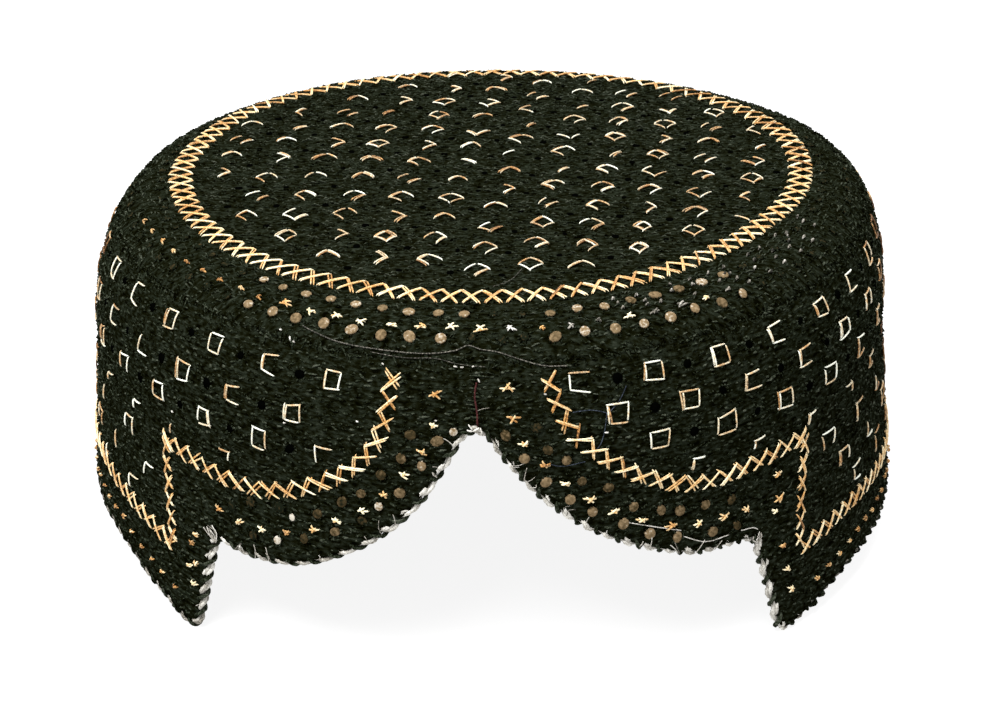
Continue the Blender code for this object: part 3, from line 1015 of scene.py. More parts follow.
def square_sides(corners, sides, order, to_cap):
    """Stitch ends and tints for the named sides, each of which runs from one corner to the next."""
    starts, ends, tints = [], [], []
    corners = np.array(corners) + rng.normal(0, SQUARE_SLIP, (4, 2))
    middle = np.mean(corners, axis=0)
    for side in sides:
        first = np.array(corners[order.index(side.lower())])
        last = np.array(corners[(order.index(side.lower()) + 1) % 4])
        inwards = middle - (first + last) / 2
        inwards /= np.linalg.norm(inwards)
        for strand in (0, 1) if side.isupper() else (0,):
            slips = rng.normal(0, SIDE_SLIP, (2, 2))
            starts.append(to_cap(*(first + strand * DOUBLE_GAP * inwards + slips[0])))
            ends.append(to_cap(*(last + strand * DOUBLE_GAP * inwards + slips[1])))
            tints.append(rng.beta(*WEAR) - (DOUBLED_DIM if side.isupper() else 0.0))
    return starts, ends, tints


# %% Sew the crown's squares
HALF_WIDE = 0.0026
HALF_DEEP = 0.0028
starts, ends, tints = [], [], []
for row, first_column, cells in CROWN_CHART:
    for column, sides in enumerate(cells.split(), start=first_column):
        slip = COLUMN_SLIP if column == SLIPPED_COLUMN else 0.0
        x, y = crown_place(column, row + slip)
        corners = ((x - HALF_WIDE, y), (x, y + HALF_DEEP), (x + HALF_WIDE, y), (x, y - HALF_DEEP))
        some_starts, some_ends, some_tints = square_sides(corners, sides, "abcd", polar)
        starts += some_starts
        ends += some_ends
        tints += some_tints
places = stitch_places(starts, ends, SQUARE_THREAD, GOLD_LIFT)
sew("crown_squares", STITCH, places, PALE_GOLD, np.array(tints))

# %% [markdown]
# ## Gold squares of the band
# The band's squares stand upright, in rows that are offset by half a step, like bricks. They fill the
# cloth between the crown seam and the gold line. Sides are t, r, b and l, and a capital is a doubled
# one. Those seen from the front are charted one by one, and the rest, round the sides and the back,
# repeat a few common ones.
# %% The chart of the band's squares
BAND_CHART = (
    # azimuth of the row's first square, distance from the middle in mm, and its squares outwards
    (11.5, 93.0, "ltb Ltbr Ltbr Ltb Ltbr ltb ltbr"),
    (16.3, 100.4, "Ltrb Ltrb Ltb Ltb Ltbr Ltr"),
    (21.8, 107.6, "ltrb ltrb Ltrb ltrb Ltb"),
    (27.5, 115.2, "Lt Lt Lt tr Lbt tl"),
    (51.9, 122.8, "ltr Lt lb Ltb"),
    (56.2, 129.9, "Ltr lb ltr"),
    (60.5, 136.5, "ltb lt Ltb"),
    (-21.8, 94.5, "Ltrb Ltb ltrb Ltrb ltb ltrb"),
    (-27.0, 103.1, "Ltrb Ltb Ltrb lb ltb"),
    (-22.6, 111.3, "lt ltrb ltRb ltrb ltr"),
    (-38.2, 117.6, "tr l lt lt"),
    (-59.8, 123.5, "ltr l ltb"),
    (-54.0, 131.2, "lt l ltr"),
    (-58.3, 137.6, "lt l Ltr"),
)
PITCH_RIGHT = 10.15
PITCH_LEFT = -9.60
LEFT_CLIMB = 0.00042
CLIMB_PLACES = 4
BACK_ROOM = 0.35
BACK_SQUARES = ("Ltrb", "ltb", "ltrb", "Ltb", "ltRb", "Ltr", "ltrb")
BACK_STRIDE = 3
SQUARE_WIDE = {"left": 0.0037, "right": 0.0044}
SQUARE_TALL = {"left": 0.0039, "right": 0.0038}
LOW_ROWS = (115.2, 117.6)
LOW_SHARE = 0.6
# over the left ear the gold line climbs, and the lowest row stops for it
EAR_WAY, EAR_START, EAR_END = 137.0, -70, -125
# painted shade on the band's squares round the sides, where the light falls off: how deep, where deepest,
# how wide
SIDE_PAINTED_SHADE = 0.90
SIDE_MIDDLE = 86.0
SIDE_SPREAD = 15.0


def band_rows():
    """Every square of the band, as azimuth, distance from the middle, and its sides."""
    squares = []
    for first, way, cells in BAND_CHART:
        pitch = PITCH_RIGHT if first > 0 else PITCH_LEFT
        cells = cells.split()
        count = int((180 - abs(first) - BACK_ROOM * abs(pitch)) / abs(pitch)) + 1
        for index in range(count):
            sides = BACK_SQUARES[(BACK_STRIDE * index + int(way)) % len(BACK_SQUARES)]
            if index < len(cells):
                sides = cells[index]
            climb = LEFT_CLIMB * min(index, CLIMB_PLACES) if pitch < 0 and way < LOW_ROWS[0] else 0.0
            azimuth = first + index * pitch
            over_ear = way > EAR_WAY and EAR_START > azimuth > EAR_END
            if not over_ear:
                squares.append((azimuth, way / 1000 - climb, sides))
    return squares


def band_flat(x, way):
    """Azimuth and distance from the middle, for metres round the band and metres down it."""
    return math.degrees(x / HEM_RADIUS), way


# %% Sew the band's squares
starts, ends, tints = [], [], []
for azimuth, way, sides in band_rows():
    x = math.radians(azimuth) * HEM_RADIUS
    half = "left" if azimuth < 0 else "right"
    wide, tall = SQUARE_WIDE[half] / 2, SQUARE_TALL[half] / 2
    if round(way * 1000, 1) in LOW_ROWS:
        wide, tall = wide * LOW_SHARE**0.5, tall * LOW_SHARE
    top, bottom = way - tall, way + tall
    corners = ((x - wide, top), (x + wide, top), (x + wide, bottom), (x - wide, bottom))
    some_starts, some_ends, some_tints = square_sides(corners, sides, "trbl", band_flat)
    starts += some_starts
    ends += some_ends
    tints += some_tints
places = stitch_places(starts, ends, SQUARE_THREAD, GOLD_LIFT)
# painted shade: the squares round the sides, over the ears, are painted darker
off_side = (abs(np.array(starts)[:, 0]) - SIDE_MIDDLE) / SIDE_SPREAD
tints = np.array(tints) + BAND_GLEAM - SIDE_PAINTED_SHADE * np.exp(-(off_side**2))
sew("band_squares", STITCH, places, PALE_GOLD, tints)

# %% [markdown]
# ## The gold line of the band
# A line of herringbone comes down beside the front seam, follows each lobe, climbs to a corner over the
# step, drops to a second corner over the tip, and runs round the back above the hem.
# %% The line's points, outwards from the front: azimuth and height over the table in mm
LEFT_LOBE = (
    (-13.6, 71.4),
    (-14.4, 59.8),
    (-17.0, 52.4),
    (-21.5, 46.4),
    (-29.4, 40.8),
    (-37.3, 40.0),
    (-45.6, 41.6),
    (-50.4, 42.3),
)
LEFT_COLUMN = ((-49.8, 42.5), (-49.0, 31.8), (-48.4, 23.8), (-47.8, 17.8))
LEFT_SIDE = (
    (-47.8, 17.8),
    (-56.8, 21.0),
    (-74.9, 24.5),
    (-90, 24.4),
    (-110, 23.0),
    (-134, 18.0),
    (-156, 15.5),
    (-180, 15.5),
)
RIGHT_LOBE = (
    (7.3, 71.3),
    (8.2, 66.4),
    (9.9, 60.1),
    (13.8, 54.2),
    (19.3, 47.9),
    (26.5, 43.4),
    (34.4, 43.3),
    (46.5, 44.8),
)
RIGHT_COLUMN = ((46.2, 44.4), (45.5, 33.9), (45.2, 26.0), (45.1, 18.4))
RIGHT_SIDE = (
    (45.2, 18.5),
    (56.7, 20.6),
    (77.4, 19.9),
    (90, 19.8),
    (110, 18.0),
    (134, 15.5),
    (156, 15.0),
    (180, 15.5),
)
GOLD_LINE = (
    # which half, the line over the lobe, down to the tip, and along the side
    ("left", (LEFT_LOBE, LEFT_COLUMN, LEFT_SIDE)),
    ("right", (RIGHT_LOBE, RIGHT_COLUMN, RIGHT_SIDE)),
)
LINE_WIDTH = {"left": 0.0037, "right": 0.0036}
COLUMN_WIDTH = 0.0025
LINE_PITCH = 0.0044
LINE_LOWS, LINE_HIGH = (0.44, 0.24), 0.52
LINE_SLIP = 0.00020


def even_line(points, step):
    """A smooth line through points of the band, with its points in flat metres, evenly spaced."""
    flat = []
    for azimuth, height in points:
        way = np.interp(-height / 1000, -PROFILE_HEIGHT, PROFILE_WAY)
        flat.append(np.array((math.radians(azimuth) * HEM_RADIUS, way)))
    line = np.array(eased_curve(flat, step / 4))
    lengths = np.concatenate([[0.0], np.cumsum(np.linalg.norm(np.diff(line, axis=0), axis=1))])
    even = np.linspace(0, lengths[-1], max(int(round(lengths[-1] / step)), 1) + 1)
    return np.array([np.interp(even, lengths, line[:, axis]) for axis in (0, 1)]).T


# %% Sew the line, part by part
def sewn_along(points, half, column):
    """The herringbone along one part of the line, as stitch ends, lifts and tints."""
    line = even_line(points, LINE_PITCH)
    line = (line[:-1] + line[1:]) / 2
    course = np.gradient(line, axis=0)
    course /= np.linalg.norm(course, axis=1, keepdims=True)

    def line_point(index, along, across):
        across_way = np.array((-course[index][1], course[index][0]))
        if half == "left":
            across_way = -across_way
        x, way = line[index] + along * course[index] + across * across_way
        return band_flat(x, way)

    width = COLUMN_WIDTH if column else LINE_WIDTH[half]
    lows = [LINE_PITCH * share for share in LINE_LOWS]
    # on the line one leg gets the painted highlight, on the column the other
    lit_leans = [-1 if column else 1] * len(line)
    return herringbone(line_point, len(line), width, lows, LINE_PITCH * LINE_HIGH, lit_leans, LINE_SLIP)


parts = []
for half, lines in GOLD_LINE:
    for number, points in enumerate(lines):
        parts.append(sewn_along(points, half, number == 1))
starts, ends, lifts, tints = (np.concatenate(columns) for columns in zip(*parts))
sew("gold_line", STITCH, stitch_places(starts, ends, GOLD_THREAD, lifts), GOLD, tints)

# %% [markdown]
# ## Stars
# Between the mirrors sit tiny stars, each three short stitches through one point: a level one and two
# that cross. They are the smallest sign of the hand on the cap, so each leg gets its own turn, length
# and tone.
# %% A star
STAR_THREAD = 0.00044
STAR_LEGS = (
    # turn in degrees, and share of the star's size
    (0.0, 1.20),
    (48.0, 0.85),
    (-42.0, 0.85),
)
STAR_LIFTS = (0.0, 0.00018, 0.00030)
LEG_TURN = 14
LEG_SHARES = (0.75, 1.15)
FAINT_SIZE = 0.0014
FAINT_TONES = (-0.1, 0.4)
CLEAR_TONES = (0.15, 0.85)
LEG_SPREAD = 0.15


def star_legs(azimuth, way, size):
    """Stitch ends of one star, whose level leg is size metres long."""
    starts, ends = [], []
    radius = float(np.interp(way, PROFILE_WAY, PROFILE_RADIUS))
    for angle, share in STAR_LEGS:
        angle = math.radians(angle + rng.normal(0, LEG_TURN))
        long = size / 2 * share * rng.uniform(*LEG_SHARES)
        slips = rng.normal(0, size / 12, 2)
        spread, shift = np.degrees(np.array((long * math.cos(angle), slips[0])) / radius)
        down = long * math.sin(angle)
        starts.append((azimuth + shift - spread, way + slips[1] - down))
        ends.append((azimuth + shift + spread, way + slips[1] + down))
    return starts, ends


def sew_stars(name, stars, material):
    """One piece of stars, each (azimuth, way, size). Stars smaller than FAINT_SIZE get duller tones."""
    starts, ends, tints = [], [], []
    for azimuth, way, size in stars:
        some_starts, some_ends = star_legs(azimuth, way, size)
        starts += some_starts
        ends += some_ends
        tone = rng.uniform(*(FAINT_TONES if size < FAINT_SIZE else CLEAR_TONES))
        tints += list(tone + rng.normal(0, LEG_SPREAD, len(STAR_LEGS)))
    lifts = GOLD_LIFT + np.tile(STAR_LIFTS, len(stars))
    places = stitch_places(starts, ends, STAR_THREAD, lifts)
    sew(name, STITCH, places, material, np.array(tints))


# %% Where the shoulder's rows run
SHOULDER_COUNT = 82
SHOULDER_TURN = 360 / SHOULDER_COUNT
SHOULDER_SLIP = 0.13
WAY_SLIP = 0.0002
BACK_SLIP = 0.0024


def shoulder_way(left_way, right_way, azimuth):
    """A shoulder row's distance: nearer the middle on the right than on the left, farther at the back."""
    turn = math.radians(azimuth)
    back = max(0.0, -math.cos(turn))
    return (left_way + right_way) / 2 + (right_way - left_way) / 2 * math.sin(turn) + BACK_SLIP * back


def hem_point(station, inset):
    """Azimuth and distance from the middle, at metres along the hem and metres in from it."""
    azimuth, way = flat_to_cap(hem_offset(np.array(station), np.array(inset)))
    return float(azimuth), float(way)


# %% The shoulder's stars, and the white stitch ends that fleck its right side
STAR_WAYS = (0.0811, 0.0805)
STAR_LEAD = 0.6
SHOULDER_STARS = (
    # from azimuth, to azimuth, smallest and largest star in metres, and how many of three are silver
    (-76, -36, 0.0013, 0.0013, 0),
    (-36, -1, 0.0020, 0.0026, 0),
    (-1, 38, 0.0012, 0.0021, 2),
    (38, 62, 0.0008, 0.0008, 3),
)
ENDS_START, ENDS_END = 20, 66
ENDS_NEARER = (0.0022, 0.0045, 0.0066)
ENDS_TURN = 1.2
ENDS_SLIP = 0.0005
ENDS_SIZE = 0.0007

gold_stars, silver_stars = [], []
for index in range(SHOULDER_COUNT):
    azimuth = -180 + (index + STAR_LEAD) * SHOULDER_TURN + rng.normal(0, SHOULDER_SLIP)
    way = shoulder_way(*STAR_WAYS, azimuth) + rng.normal(0, WAY_SLIP)
    for start, end, small, large, silver in SHOULDER_STARS:
        if start < azimuth <= end:
            size = rng.uniform(small, large) if large > small else small
            stars = silver_stars if index % 3 >= 3 - silver else gold_stars
            stars.append((azimuth, way, size))
    if ENDS_START < azimuth < ENDS_END:
        for nearer in ENDS_NEARER:
            beside = azimuth + rng.normal(0, ENDS_TURN)
            silver_stars.append((beside, way - nearer + rng.normal(0, ENDS_SLIP), ENDS_SIZE))

# %% The stars of the lobes and of the hem
LOBE_STARS = (
    # azimuth, and distance from the crown's middle in mm, outwards along the left lobe, then the right
    ((-7.6, 101.3), (-9.1, 107.3), (-11.5, 113.1), (-14.2, 118.1), (-17.1, 122.4), (-20.5, 125.8)),
    ((-23.9, 128.8), (-27.8, 131.0), (-31.5, 131.9), (-35.3, 131.9), (-38.7, 130.7)),
    ((2.6, 99.4), (4.0, 105.0), (6.7, 109.8), (9.3, 114.6), (12.4, 118.7), (15.5, 122.3)),
    ((19.4, 125.1), (23.4, 127.8), (27.5, 129.0), (31.4, 129.3), (35.1, 129.3)),
)
TIP_STARS = (
    # mm along the hem from the notch, leftwards, and mm in from it: the left tip's, then the right one's
    ((81.9, 4.5), (84.7, 5.2), (88.7, 2.9), (90.7, 4.6), (93.9, 2.4)),
    ((-78.6, 7.0), (-85.3, 5.6), (-91.3, 5.1), (-96.5, 4.9)),
)
LONE_STARS = (
    # azimuth, and height over the table in mm
    (-7.4, 67.7),
    (2.0, 69.0),
    (40.6, 38.4),
    (40.9, 32.8),
)
LEFT_STAR_SIZE, RIGHT_STAR_SIZE = 0.0020, 0.0024
TIP_STAR_SIZE, SIDE_STAR_SIZE, LONE_STAR_SIZE = 0.0018, 0.0013, 0.0025
SIDE_STARS_START, SIDE_STARS_END, SIDE_PITCH = 113.0, -113.2, 4.66
SIDE_INSET, INSET_SLIP = 5.2, 0.3
side_count = int((HEM_LENGTH * 1000 + SIDE_STARS_END - SIDE_STARS_START) / SIDE_PITCH)
for stars in LOBE_STARS:
    for azimuth, way in stars:
        gold_stars.append((azimuth, way / 1000, LEFT_STAR_SIZE if azimuth < 0 else RIGHT_STAR_SIZE))
for stars in TIP_STARS:
    for station, inset in stars:
        gold_stars.append((*hem_point(station / 1000, inset / 1000), TIP_STAR_SIZE))
for index in range(side_count + 1):
    station = SIDE_STARS_START + SIDE_PITCH * index
    inset = SIDE_INSET + rng.normal(0, INSET_SLIP)
    gold_stars.append((*hem_point(station / 1000, inset / 1000), SIDE_STAR_SIZE))
for azimuth, height in LONE_STARS:
    way = float(np.interp(-height / 1000, -PROFILE_HEIGHT, PROFILE_WAY))
    gold_stars.append((azimuth, way, LONE_STAR_SIZE))
sew_stars("gold_stars", gold_stars, GOLD)
sew_stars("silver_stars", silver_stars, WHITE)

# %% [markdown]
# ## Mirrors
# The mirrors are thin discs no wider than a lentil, each held by black stitches over its edge. They lie
# in two rows on the shoulder and two along the lobes. Only those that face the light show bright, by a
# painted reflection in their tint.
# %% The pattern mirror
MIRROR_SIDES = 14
MIRROR_DEPTH = 0.3
RIM_WIDTH = 0.16
RIM_RISE = 0.12


def model_mirror():
    """A low disc with a rounded edge, one unit in radius."""
    bpy.ops.object.select_all(action="DESELECT")
    bpy.ops.mesh.primitive_cylinder_add(vertices=MIRROR_SIDES, depth=MIRROR_DEPTH, end_fill_type="NGON")
    disc = bpy.context.object
    bpy.ops.object.mode_set(mode="EDIT")
    bpy.ops.mesh.select_all(action="DESELECT")
    bpy.ops.object.mode_set(mode="OBJECT")
    for face in disc.data.polygons:
        face.select = face.normal.z > 0.5
    bpy.ops.object.mode_set(mode="EDIT")
    bpy.ops.mesh.inset(thickness=RIM_WIDTH)
    bpy.ops.transform.translate(value=(0, 0, RIM_RISE))
    bpy.ops.object.mode_set(mode="OBJECT")
    return disc


def flat_places(spots, radius, lift):
    """Matrices that lay a round pattern flat on the cloth at (azimuth, way) spots."""
    spots = np.asarray(spots, float)
    along, down, out = skin_axes(spots[:, 0], spots[:, 1])
    points = skin(spots[:, 0], spots[:, 1])
    places = np.zeros((len(spots), 4, 4))
    radius = np.broadcast_to(radius, len(spots))[:, None]
    places[:, :3, 0] = along * radius
    places[:, :3, 1] = -down * radius
    places[:, :3, 2] = out * radius
    places[:, :3, 3] = points + out * lift
    places[:, 3, 3] = 1.0
    return places


def turned_ovals(places, amount):
    """The same places, with each copy turned at random and drawn a little oval."""
    shaped = []
    for place in places:
        share = 1 + rng.uniform(-amount, amount)
        turn = np.array(Matrix.Rotation(rng.uniform(0, math.pi), 4, "Z"))
        shaped.append(place @ turn @ np.diag((share, 1 / share, 1.0, 1.0)))
    return np.array(shaped)


MIRROR_DISC = take_pattern(model_mirror())
print("faces of a mirror:", len(MIRROR_DISC[1]))

# %% The mirrors of the shoulder
MIRROR_ROWS = (
    # the left and the right half's lead in places, and the left and the right side's distance
    (0.0, 0.0, 0.0766, 0.0757),
    (0.3, 0.0, 0.0837, 0.0823),
)
# shoulder mirrors between these azimuths face the light and get a painted reflection, the rest are painted
# dark
LIT_LEFT, LIT_RIGHT = (-42, -3), (7, 41)
LIT_TONES, UNLIT_TONES = (0.42, 0.72), (0.0, 0.05)

mirrors, painted_reflection = [], []
for left_lead, right_lead, left_way, right_way in MIRROR_ROWS:
    for index in range(SHOULDER_COUNT):
        lead = right_lead if index > SHOULDER_COUNT / 2 else left_lead
        azimuth = -180 + (index + lead) * SHOULDER_TURN + rng.normal(0, SHOULDER_SLIP)
        lit = LIT_LEFT[0] < azimuth < LIT_LEFT[1] or LIT_RIGHT[0] < azimuth < LIT_RIGHT[1]
        mirrors.append((azimuth, shoulder_way(left_way, right_way, azimuth) + rng.normal(0, WAY_SLIP)))
        painted_reflection.append(rng.uniform(*(LIT_TONES if lit else UNLIT_TONES)))
shoulder_mirrors = len(mirrors)
print(f"{shoulder_mirrors} mirrors on the shoulder")

# %% The mirrors of the lobes
LOBE_MIRRORS = (
    # azimuth, distance from the crown's middle in mm, and how bright its painted reflection is: 9 is white,
    # 0 is dark
    # the left lobe's upper and lower row
    ((-10.7, 103.8, 2), (-11.9, 109.3, 3), (-14.6, 113.6, 2), (-17.3, 118.6, 3), (-19.9, 121.2, 2)),
    ((-23.3, 125.0, 2), (-27.0, 127.2, 8), (-28.9, 125.6, 0), (-33.5, 126.4, 1), (-36.6, 128.9, 0)),
    ((-5.1, 102.6, 7), (-7.2, 104.8, 4), (-9.2, 110.6, 6), (-12.1, 117.4, 4), (-14.9, 121.0, 7)),
    ((-17.1, 124.8, 1), (-20.8, 128.4, 4), (-25.2, 131.5, 2), (-29.2, 133.5, 8), (-33.0, 134.2, 1)),
    # the right lobe's upper and lower row
    ((5.6, 101.7, 1), (7.0, 106.7, 2), (9.4, 109.3, 4), (11.4, 114.4, 3), (14.9, 116.6, 3)),
    ((18.3, 121.9, 4), (22.1, 123.9, 4), (24.8, 125.0, 4), (28.6, 125.2, 4), (32.7, 125.9, 2)),
    ((1.6, 103.2, 3), (4.0, 108.4, 5), (6.8, 114.0, 5), (9.9, 118.4, 5), (12.8, 121.7, 5)),
    ((16.9, 125.4, 5), (20.5, 128.8, 6), (24.4, 131.0, 5), (29.7, 132.0, 4), (33.6, 132.4, 2)),
)
WHITEST = 9
for row in LOBE_MIRRORS:
    for azimuth, way, shade in row:
        mirrors.append((azimuth, way / 1000))
        painted_reflection.append(shade / WHITEST)
mirrors, painted_reflection = np.array(mirrors), np.array(painted_reflection)

# %% Sew the mirrors
MIRROR_RADIUS = 0.00119
MIRROR_SIZES = (0.88, 1.10)
MIRROR_LIFT = 0.0002
MIRROR_OVAL = 0.14
LOBE_MIRROR_SHARE = 0.95
BRIGHT, BRIGHT_SHARE = 0.74, 0.75
UNLIT, UNLIT_SHARE = 0.10, 0.70
sizes = rng.uniform(*MIRROR_SIZES, len(mirrors)) * MIRROR_RADIUS
sizes[shoulder_mirrors:] *= LOBE_MIRROR_SHARE
sizes[:shoulder_mirrors][painted_reflection[:shoulder_mirrors] < UNLIT] *= UNLIT_SHARE
sizes[painted_reflection > BRIGHT] *= BRIGHT_SHARE
places = turned_ovals(flat_places(mirrors, sizes, MIRROR_LIFT), MIRROR_OVAL)
sew("mirrors", MIRROR_DISC, places, MIRROR, painted_reflection)

# %% The stitches that hold the mirrors' edges
MIRROR_STITCHES = 8
HOLD_START, HOLD_REACH = 0.90, 0.0006
HOLD_THREAD, HOLD_LIFT = 0.00050, 0.0002
HOLD_TONES = (0.0, 0.5)
SPOKE_SLIP = 0.12
NEAR_SHARES, FAR_SHARES = (0.85, 1.10), (0.7, 1.1)


def spokes(spots, sizes, count, near_share, reach):
    """Ends of short stitches that radiate from round spots, from inside the edge to past it."""
    starts, ends = [], []
    for (azimuth, way), size in zip(spots, sizes):
        spread = math.degrees(1 / float(np.interp(way, PROFILE_WAY, PROFILE_RADIUS)))
        for angle in np.arange(count) * 2 * math.pi / count + rng.uniform(0, 1):
            angle += rng.normal(0, SPOKE_SLIP)
            along, down = math.cos(angle), math.sin(angle)
            near = size * near_share * rng.uniform(*NEAR_SHARES)
            far = size + reach * rng.uniform(*FAR_SHARES)
            starts.append((azimuth + along * near * spread, way + down * near))
            ends.append((azimuth + along * far * spread, way + down * far))
    return starts, ends


starts, ends = spokes(mirrors, sizes, MIRROR_STITCHES, HOLD_START, HOLD_REACH)
places = stitch_places(starts, ends, HOLD_THREAD, HOLD_LIFT)
sew("mirror_stitches", FINE_STITCH, places, BLACK, rng.uniform(*HOLD_TONES, len(places)))

# %% [markdown]
# ## Eyelets
# Between the squares the cloth is pierced by round eyelets. Those of the band are worked round with
# black thread, and show as low rings round a hole that is nearly black with shade. Those of the crown
# are smaller, and only their shade shows. Cutting two hundred holes would cost a great many faces, so
# a flat disc painted nearly black stands for the shade in each hole.
# %% Where the eyelets are
EYELET_ROWS, EYELET_COLUMNS = range(-1, 12), range(-5, 10)
CROWN_EYELETS_END = 0.066
BAND_EYELETS_END = 0.112
crown_eyelets = []
for row in EYELET_ROWS:
    for column in EYELET_COLUMNS:
        spot = polar(*crown_place(column + 0.5, row + 0.5))
        if spot[1] < CROWN_EYELETS_END:
            crown_eyelets.append(spot)
band_eyelets = []
for azimuth, way, _ in band_rows():
    if way < BAND_EYELETS_END:
        band_eyelets.append((azimuth + (PITCH_RIGHT if azimuth > 0 else PITCH_LEFT) / 2, way))
eyelets = crown_eyelets + band_eyelets
print(f"{len(crown_eyelets)} eyelets on the crown and {len(band_eyelets)} on the band")

# %% The painted shade of the eyelets
EYELET_RADIUS = 0.00105
EYELET_SIZES = (0.70, 1.1)
EYELET_SIDES = 10
EYELET_DEPTH = 0.2
EYELET_LIFT = 0.00010
EYELET_OVAL = 0.18
CROWN_EYELET_SHARE = 0.75


def model_hole_shade():
    """The painted shade of a hole: a low closed disc, one unit in radius."""
    bpy.ops.object.select_all(action="DESELECT")
    bpy.ops.mesh.primitive_cylinder_add(vertices=EYELET_SIDES, depth=EYELET_DEPTH, end_fill_type="NGON")
    return bpy.context.object


SHADE_DISC = take_pattern(model_hole_shade())
hole_sizes = EYELET_RADIUS * rng.uniform(*EYELET_SIZES, len(eyelets))
hole_sizes[: len(crown_eyelets)] *= CROWN_EYELET_SHARE
places = turned_ovals(flat_places(eyelets, hole_sizes, EYELET_LIFT), EYELET_OVAL)
sew("eyelet_hole_shade", SHADE_DISC, places, HOLE_SHADE)

# %% Short stitches worked round the band's eyelets
EYELET_STITCHES = 9
WORKED_START, WORKED_REACH = 0.96, 0.0009
WORKED_THREAD = 0.00056
band_sizes = hole_sizes[len(crown_eyelets) :]
starts, ends = spokes(band_eyelets, band_sizes, EYELET_STITCHES, WORKED_START, WORKED_REACH)
sew("eyelet_stitches", FINE_STITCH, stitch_places(starts, ends, WORKED_THREAD), BLACK)

# %% [markdown]
# ## The black ground
# All the cloth between the patterns is filled with short black stitches, laid in rows like the courses
# of a wall. They run straight across the flat top, and round the cap below the ring. Those whose middle
# falls on a mirror or an eyelet are left out. The cloth's own bump would look flat at its outline, and
# the stitches give it the furry edge of real embroidery.
# %% Keep the ground off mirrors and eyelets
GROUND_THREAD = 0.00052
GROUND_THICKNESSES = (0.7, 1.2)
GROUND_LIFT = (-0.00005, 0.00009)
GROUND_TONES = (1.7, 2.2)
GROUND_DROPPED = 0.07
HOLE_ROOM = 0.0010
MIRROR_ROOM = 0.0013
BATCH = 2000


def clear_of(points, spots, room):
    """Which points on the cap lie farther than the room from every spot, an (azimuth, way) row each."""
    spots = np.asarray(spots, float)
    centres = skin(spots[:, 0], spots[:, 1])
    clear = np.ones(len(points), bool)
    for first in range(0, len(points), BATCH):
        part = points[first : first + BATCH]
        gaps = np.linalg.norm(part[:, None] - centres[None], axis=2).min(axis=1)
        clear[first : first + BATCH] = gaps > room
    return clear


def sew_ground(name, starts, ends):
    """One piece of ground stitches, without those over a mirror or an eyelet."""
    starts, ends = np.array(starts), np.array(ends)
    middles = (skin(starts[:, 0], starts[:, 1]) + skin(ends[:, 0], ends[:, 1])) / 2
    clear = clear_of(middles, eyelets, HOLE_ROOM) & clear_of(middles, mirrors, MIRROR_ROOM)
    clear &= rng.random(len(starts)) > GROUND_DROPPED
    starts, ends = starts[clear], ends[clear]
    thread = GROUND_THREAD * rng.uniform(*GROUND_THICKNESSES, len(starts))[:, None]
    lifts = rng.normal(*GROUND_LIFT, len(starts))
    tints = rng.beta(*GROUND_TONES, len(starts))
    sew(name, FINE_STITCH, stitch_places(starts, ends, thread, lifts), BLACK, tints)


# %% The ground of the flat top, in straight rows
GROUND_LENGTH = 0.0020
GROUND_LENGTHS = (0.6, 1.2)
GROUND_STEP = (0.00195, 0.00104)
GROUND_SLIP = 0.00036
GROUND_EDGE = 0.0712

starts, ends = [], []
for row, y in enumerate(np.arange(-GROUND_EDGE, GROUND_EDGE, GROUND_STEP[1])):
    for x in np.arange(-GROUND_EDGE + row % 2 * GROUND_STEP[0] / 2, GROUND_EDGE, GROUND_STEP[0]):
        slips = rng.normal(0, GROUND_SLIP, 4)
        half = GROUND_LENGTH / 2 * rng.uniform(*GROUND_LENGTHS)
        start = polar(x - half + slips[0], y + slips[1] - slips[3])
        end = polar(x + half + slips[0], y + slips[1] + slips[2])
        if max(start[1], end[1]) < GROUND_EDGE:
            starts.append(start)
            ends.append(end)
sew_ground("crown_ground", starts, ends)

# %% The ground of the shoulder and the band, in rows round the cap
BAND_STEP = (0.0022, 0.00112)
SEAM_ROOM = 0.0004
HEM_ROOM = 0.0012


def rows_round(first_way, last_way, step, first_turn, last_turn):
    """Ground stitches in rows round the cap, each kept where its middle is above the hem."""
    starts, ends = [], []
    for row, way in enumerate(np.arange(first_way, last_way, step[1])):
        radius = float(np.interp(way, PROFILE_WAY, PROFILE_RADIUS))
        turn = math.degrees(step[0] / radius)
        half = math.degrees(GROUND_LENGTH / 2 / radius)
        for azimuth in np.arange(first_turn + row % 2 * turn / 2, last_turn, turn):
            slips = rng.normal(0, GROUND_SLIP, 4)
            long = half * rng.uniform(*GROUND_LENGTHS)
            azimuth += math.degrees(slips[0] / radius)
            starts.append((azimuth - long, way + slips[1] - slips[3]))
            ends.append((azimuth + long, way + slips[1] + slips[2]))
    starts, ends = np.array(starts), np.array(ends)
    middles = (starts + ends) / 2
    heights = np.interp(middles[:, 1], PROFILE_WAY, PROFILE_HEIGHT)
    flat = np.column_stack([np.radians(middles[:, 0]) * HEM_RADIUS, heights])
    above = over_hem(flat - (0, HEM_ROOM))
    above &= over_hem(flat - (HEM_ROOM, 0))
    above &= over_hem(flat + (HEM_ROOM, 0))
    return starts[above], ends[above]


above_seam, below_seam = SEAM_WAY - SEAM_ROOM, SEAM_WAY + SEAM_ROOM
sew_ground("shoulder_ground", *rows_round(GROUND_EDGE, above_seam, GROUND_STEP, -180, 180))
sew_ground("band_ground_left", *rows_round(below_seam, PROFILE_END, BAND_STEP, -180, NOTCH_AZIMUTH))
sew_ground("band_ground_right", *rows_round(below_seam, PROFILE_END, BAND_STEP, NOTCH_AZIMUTH, 180))

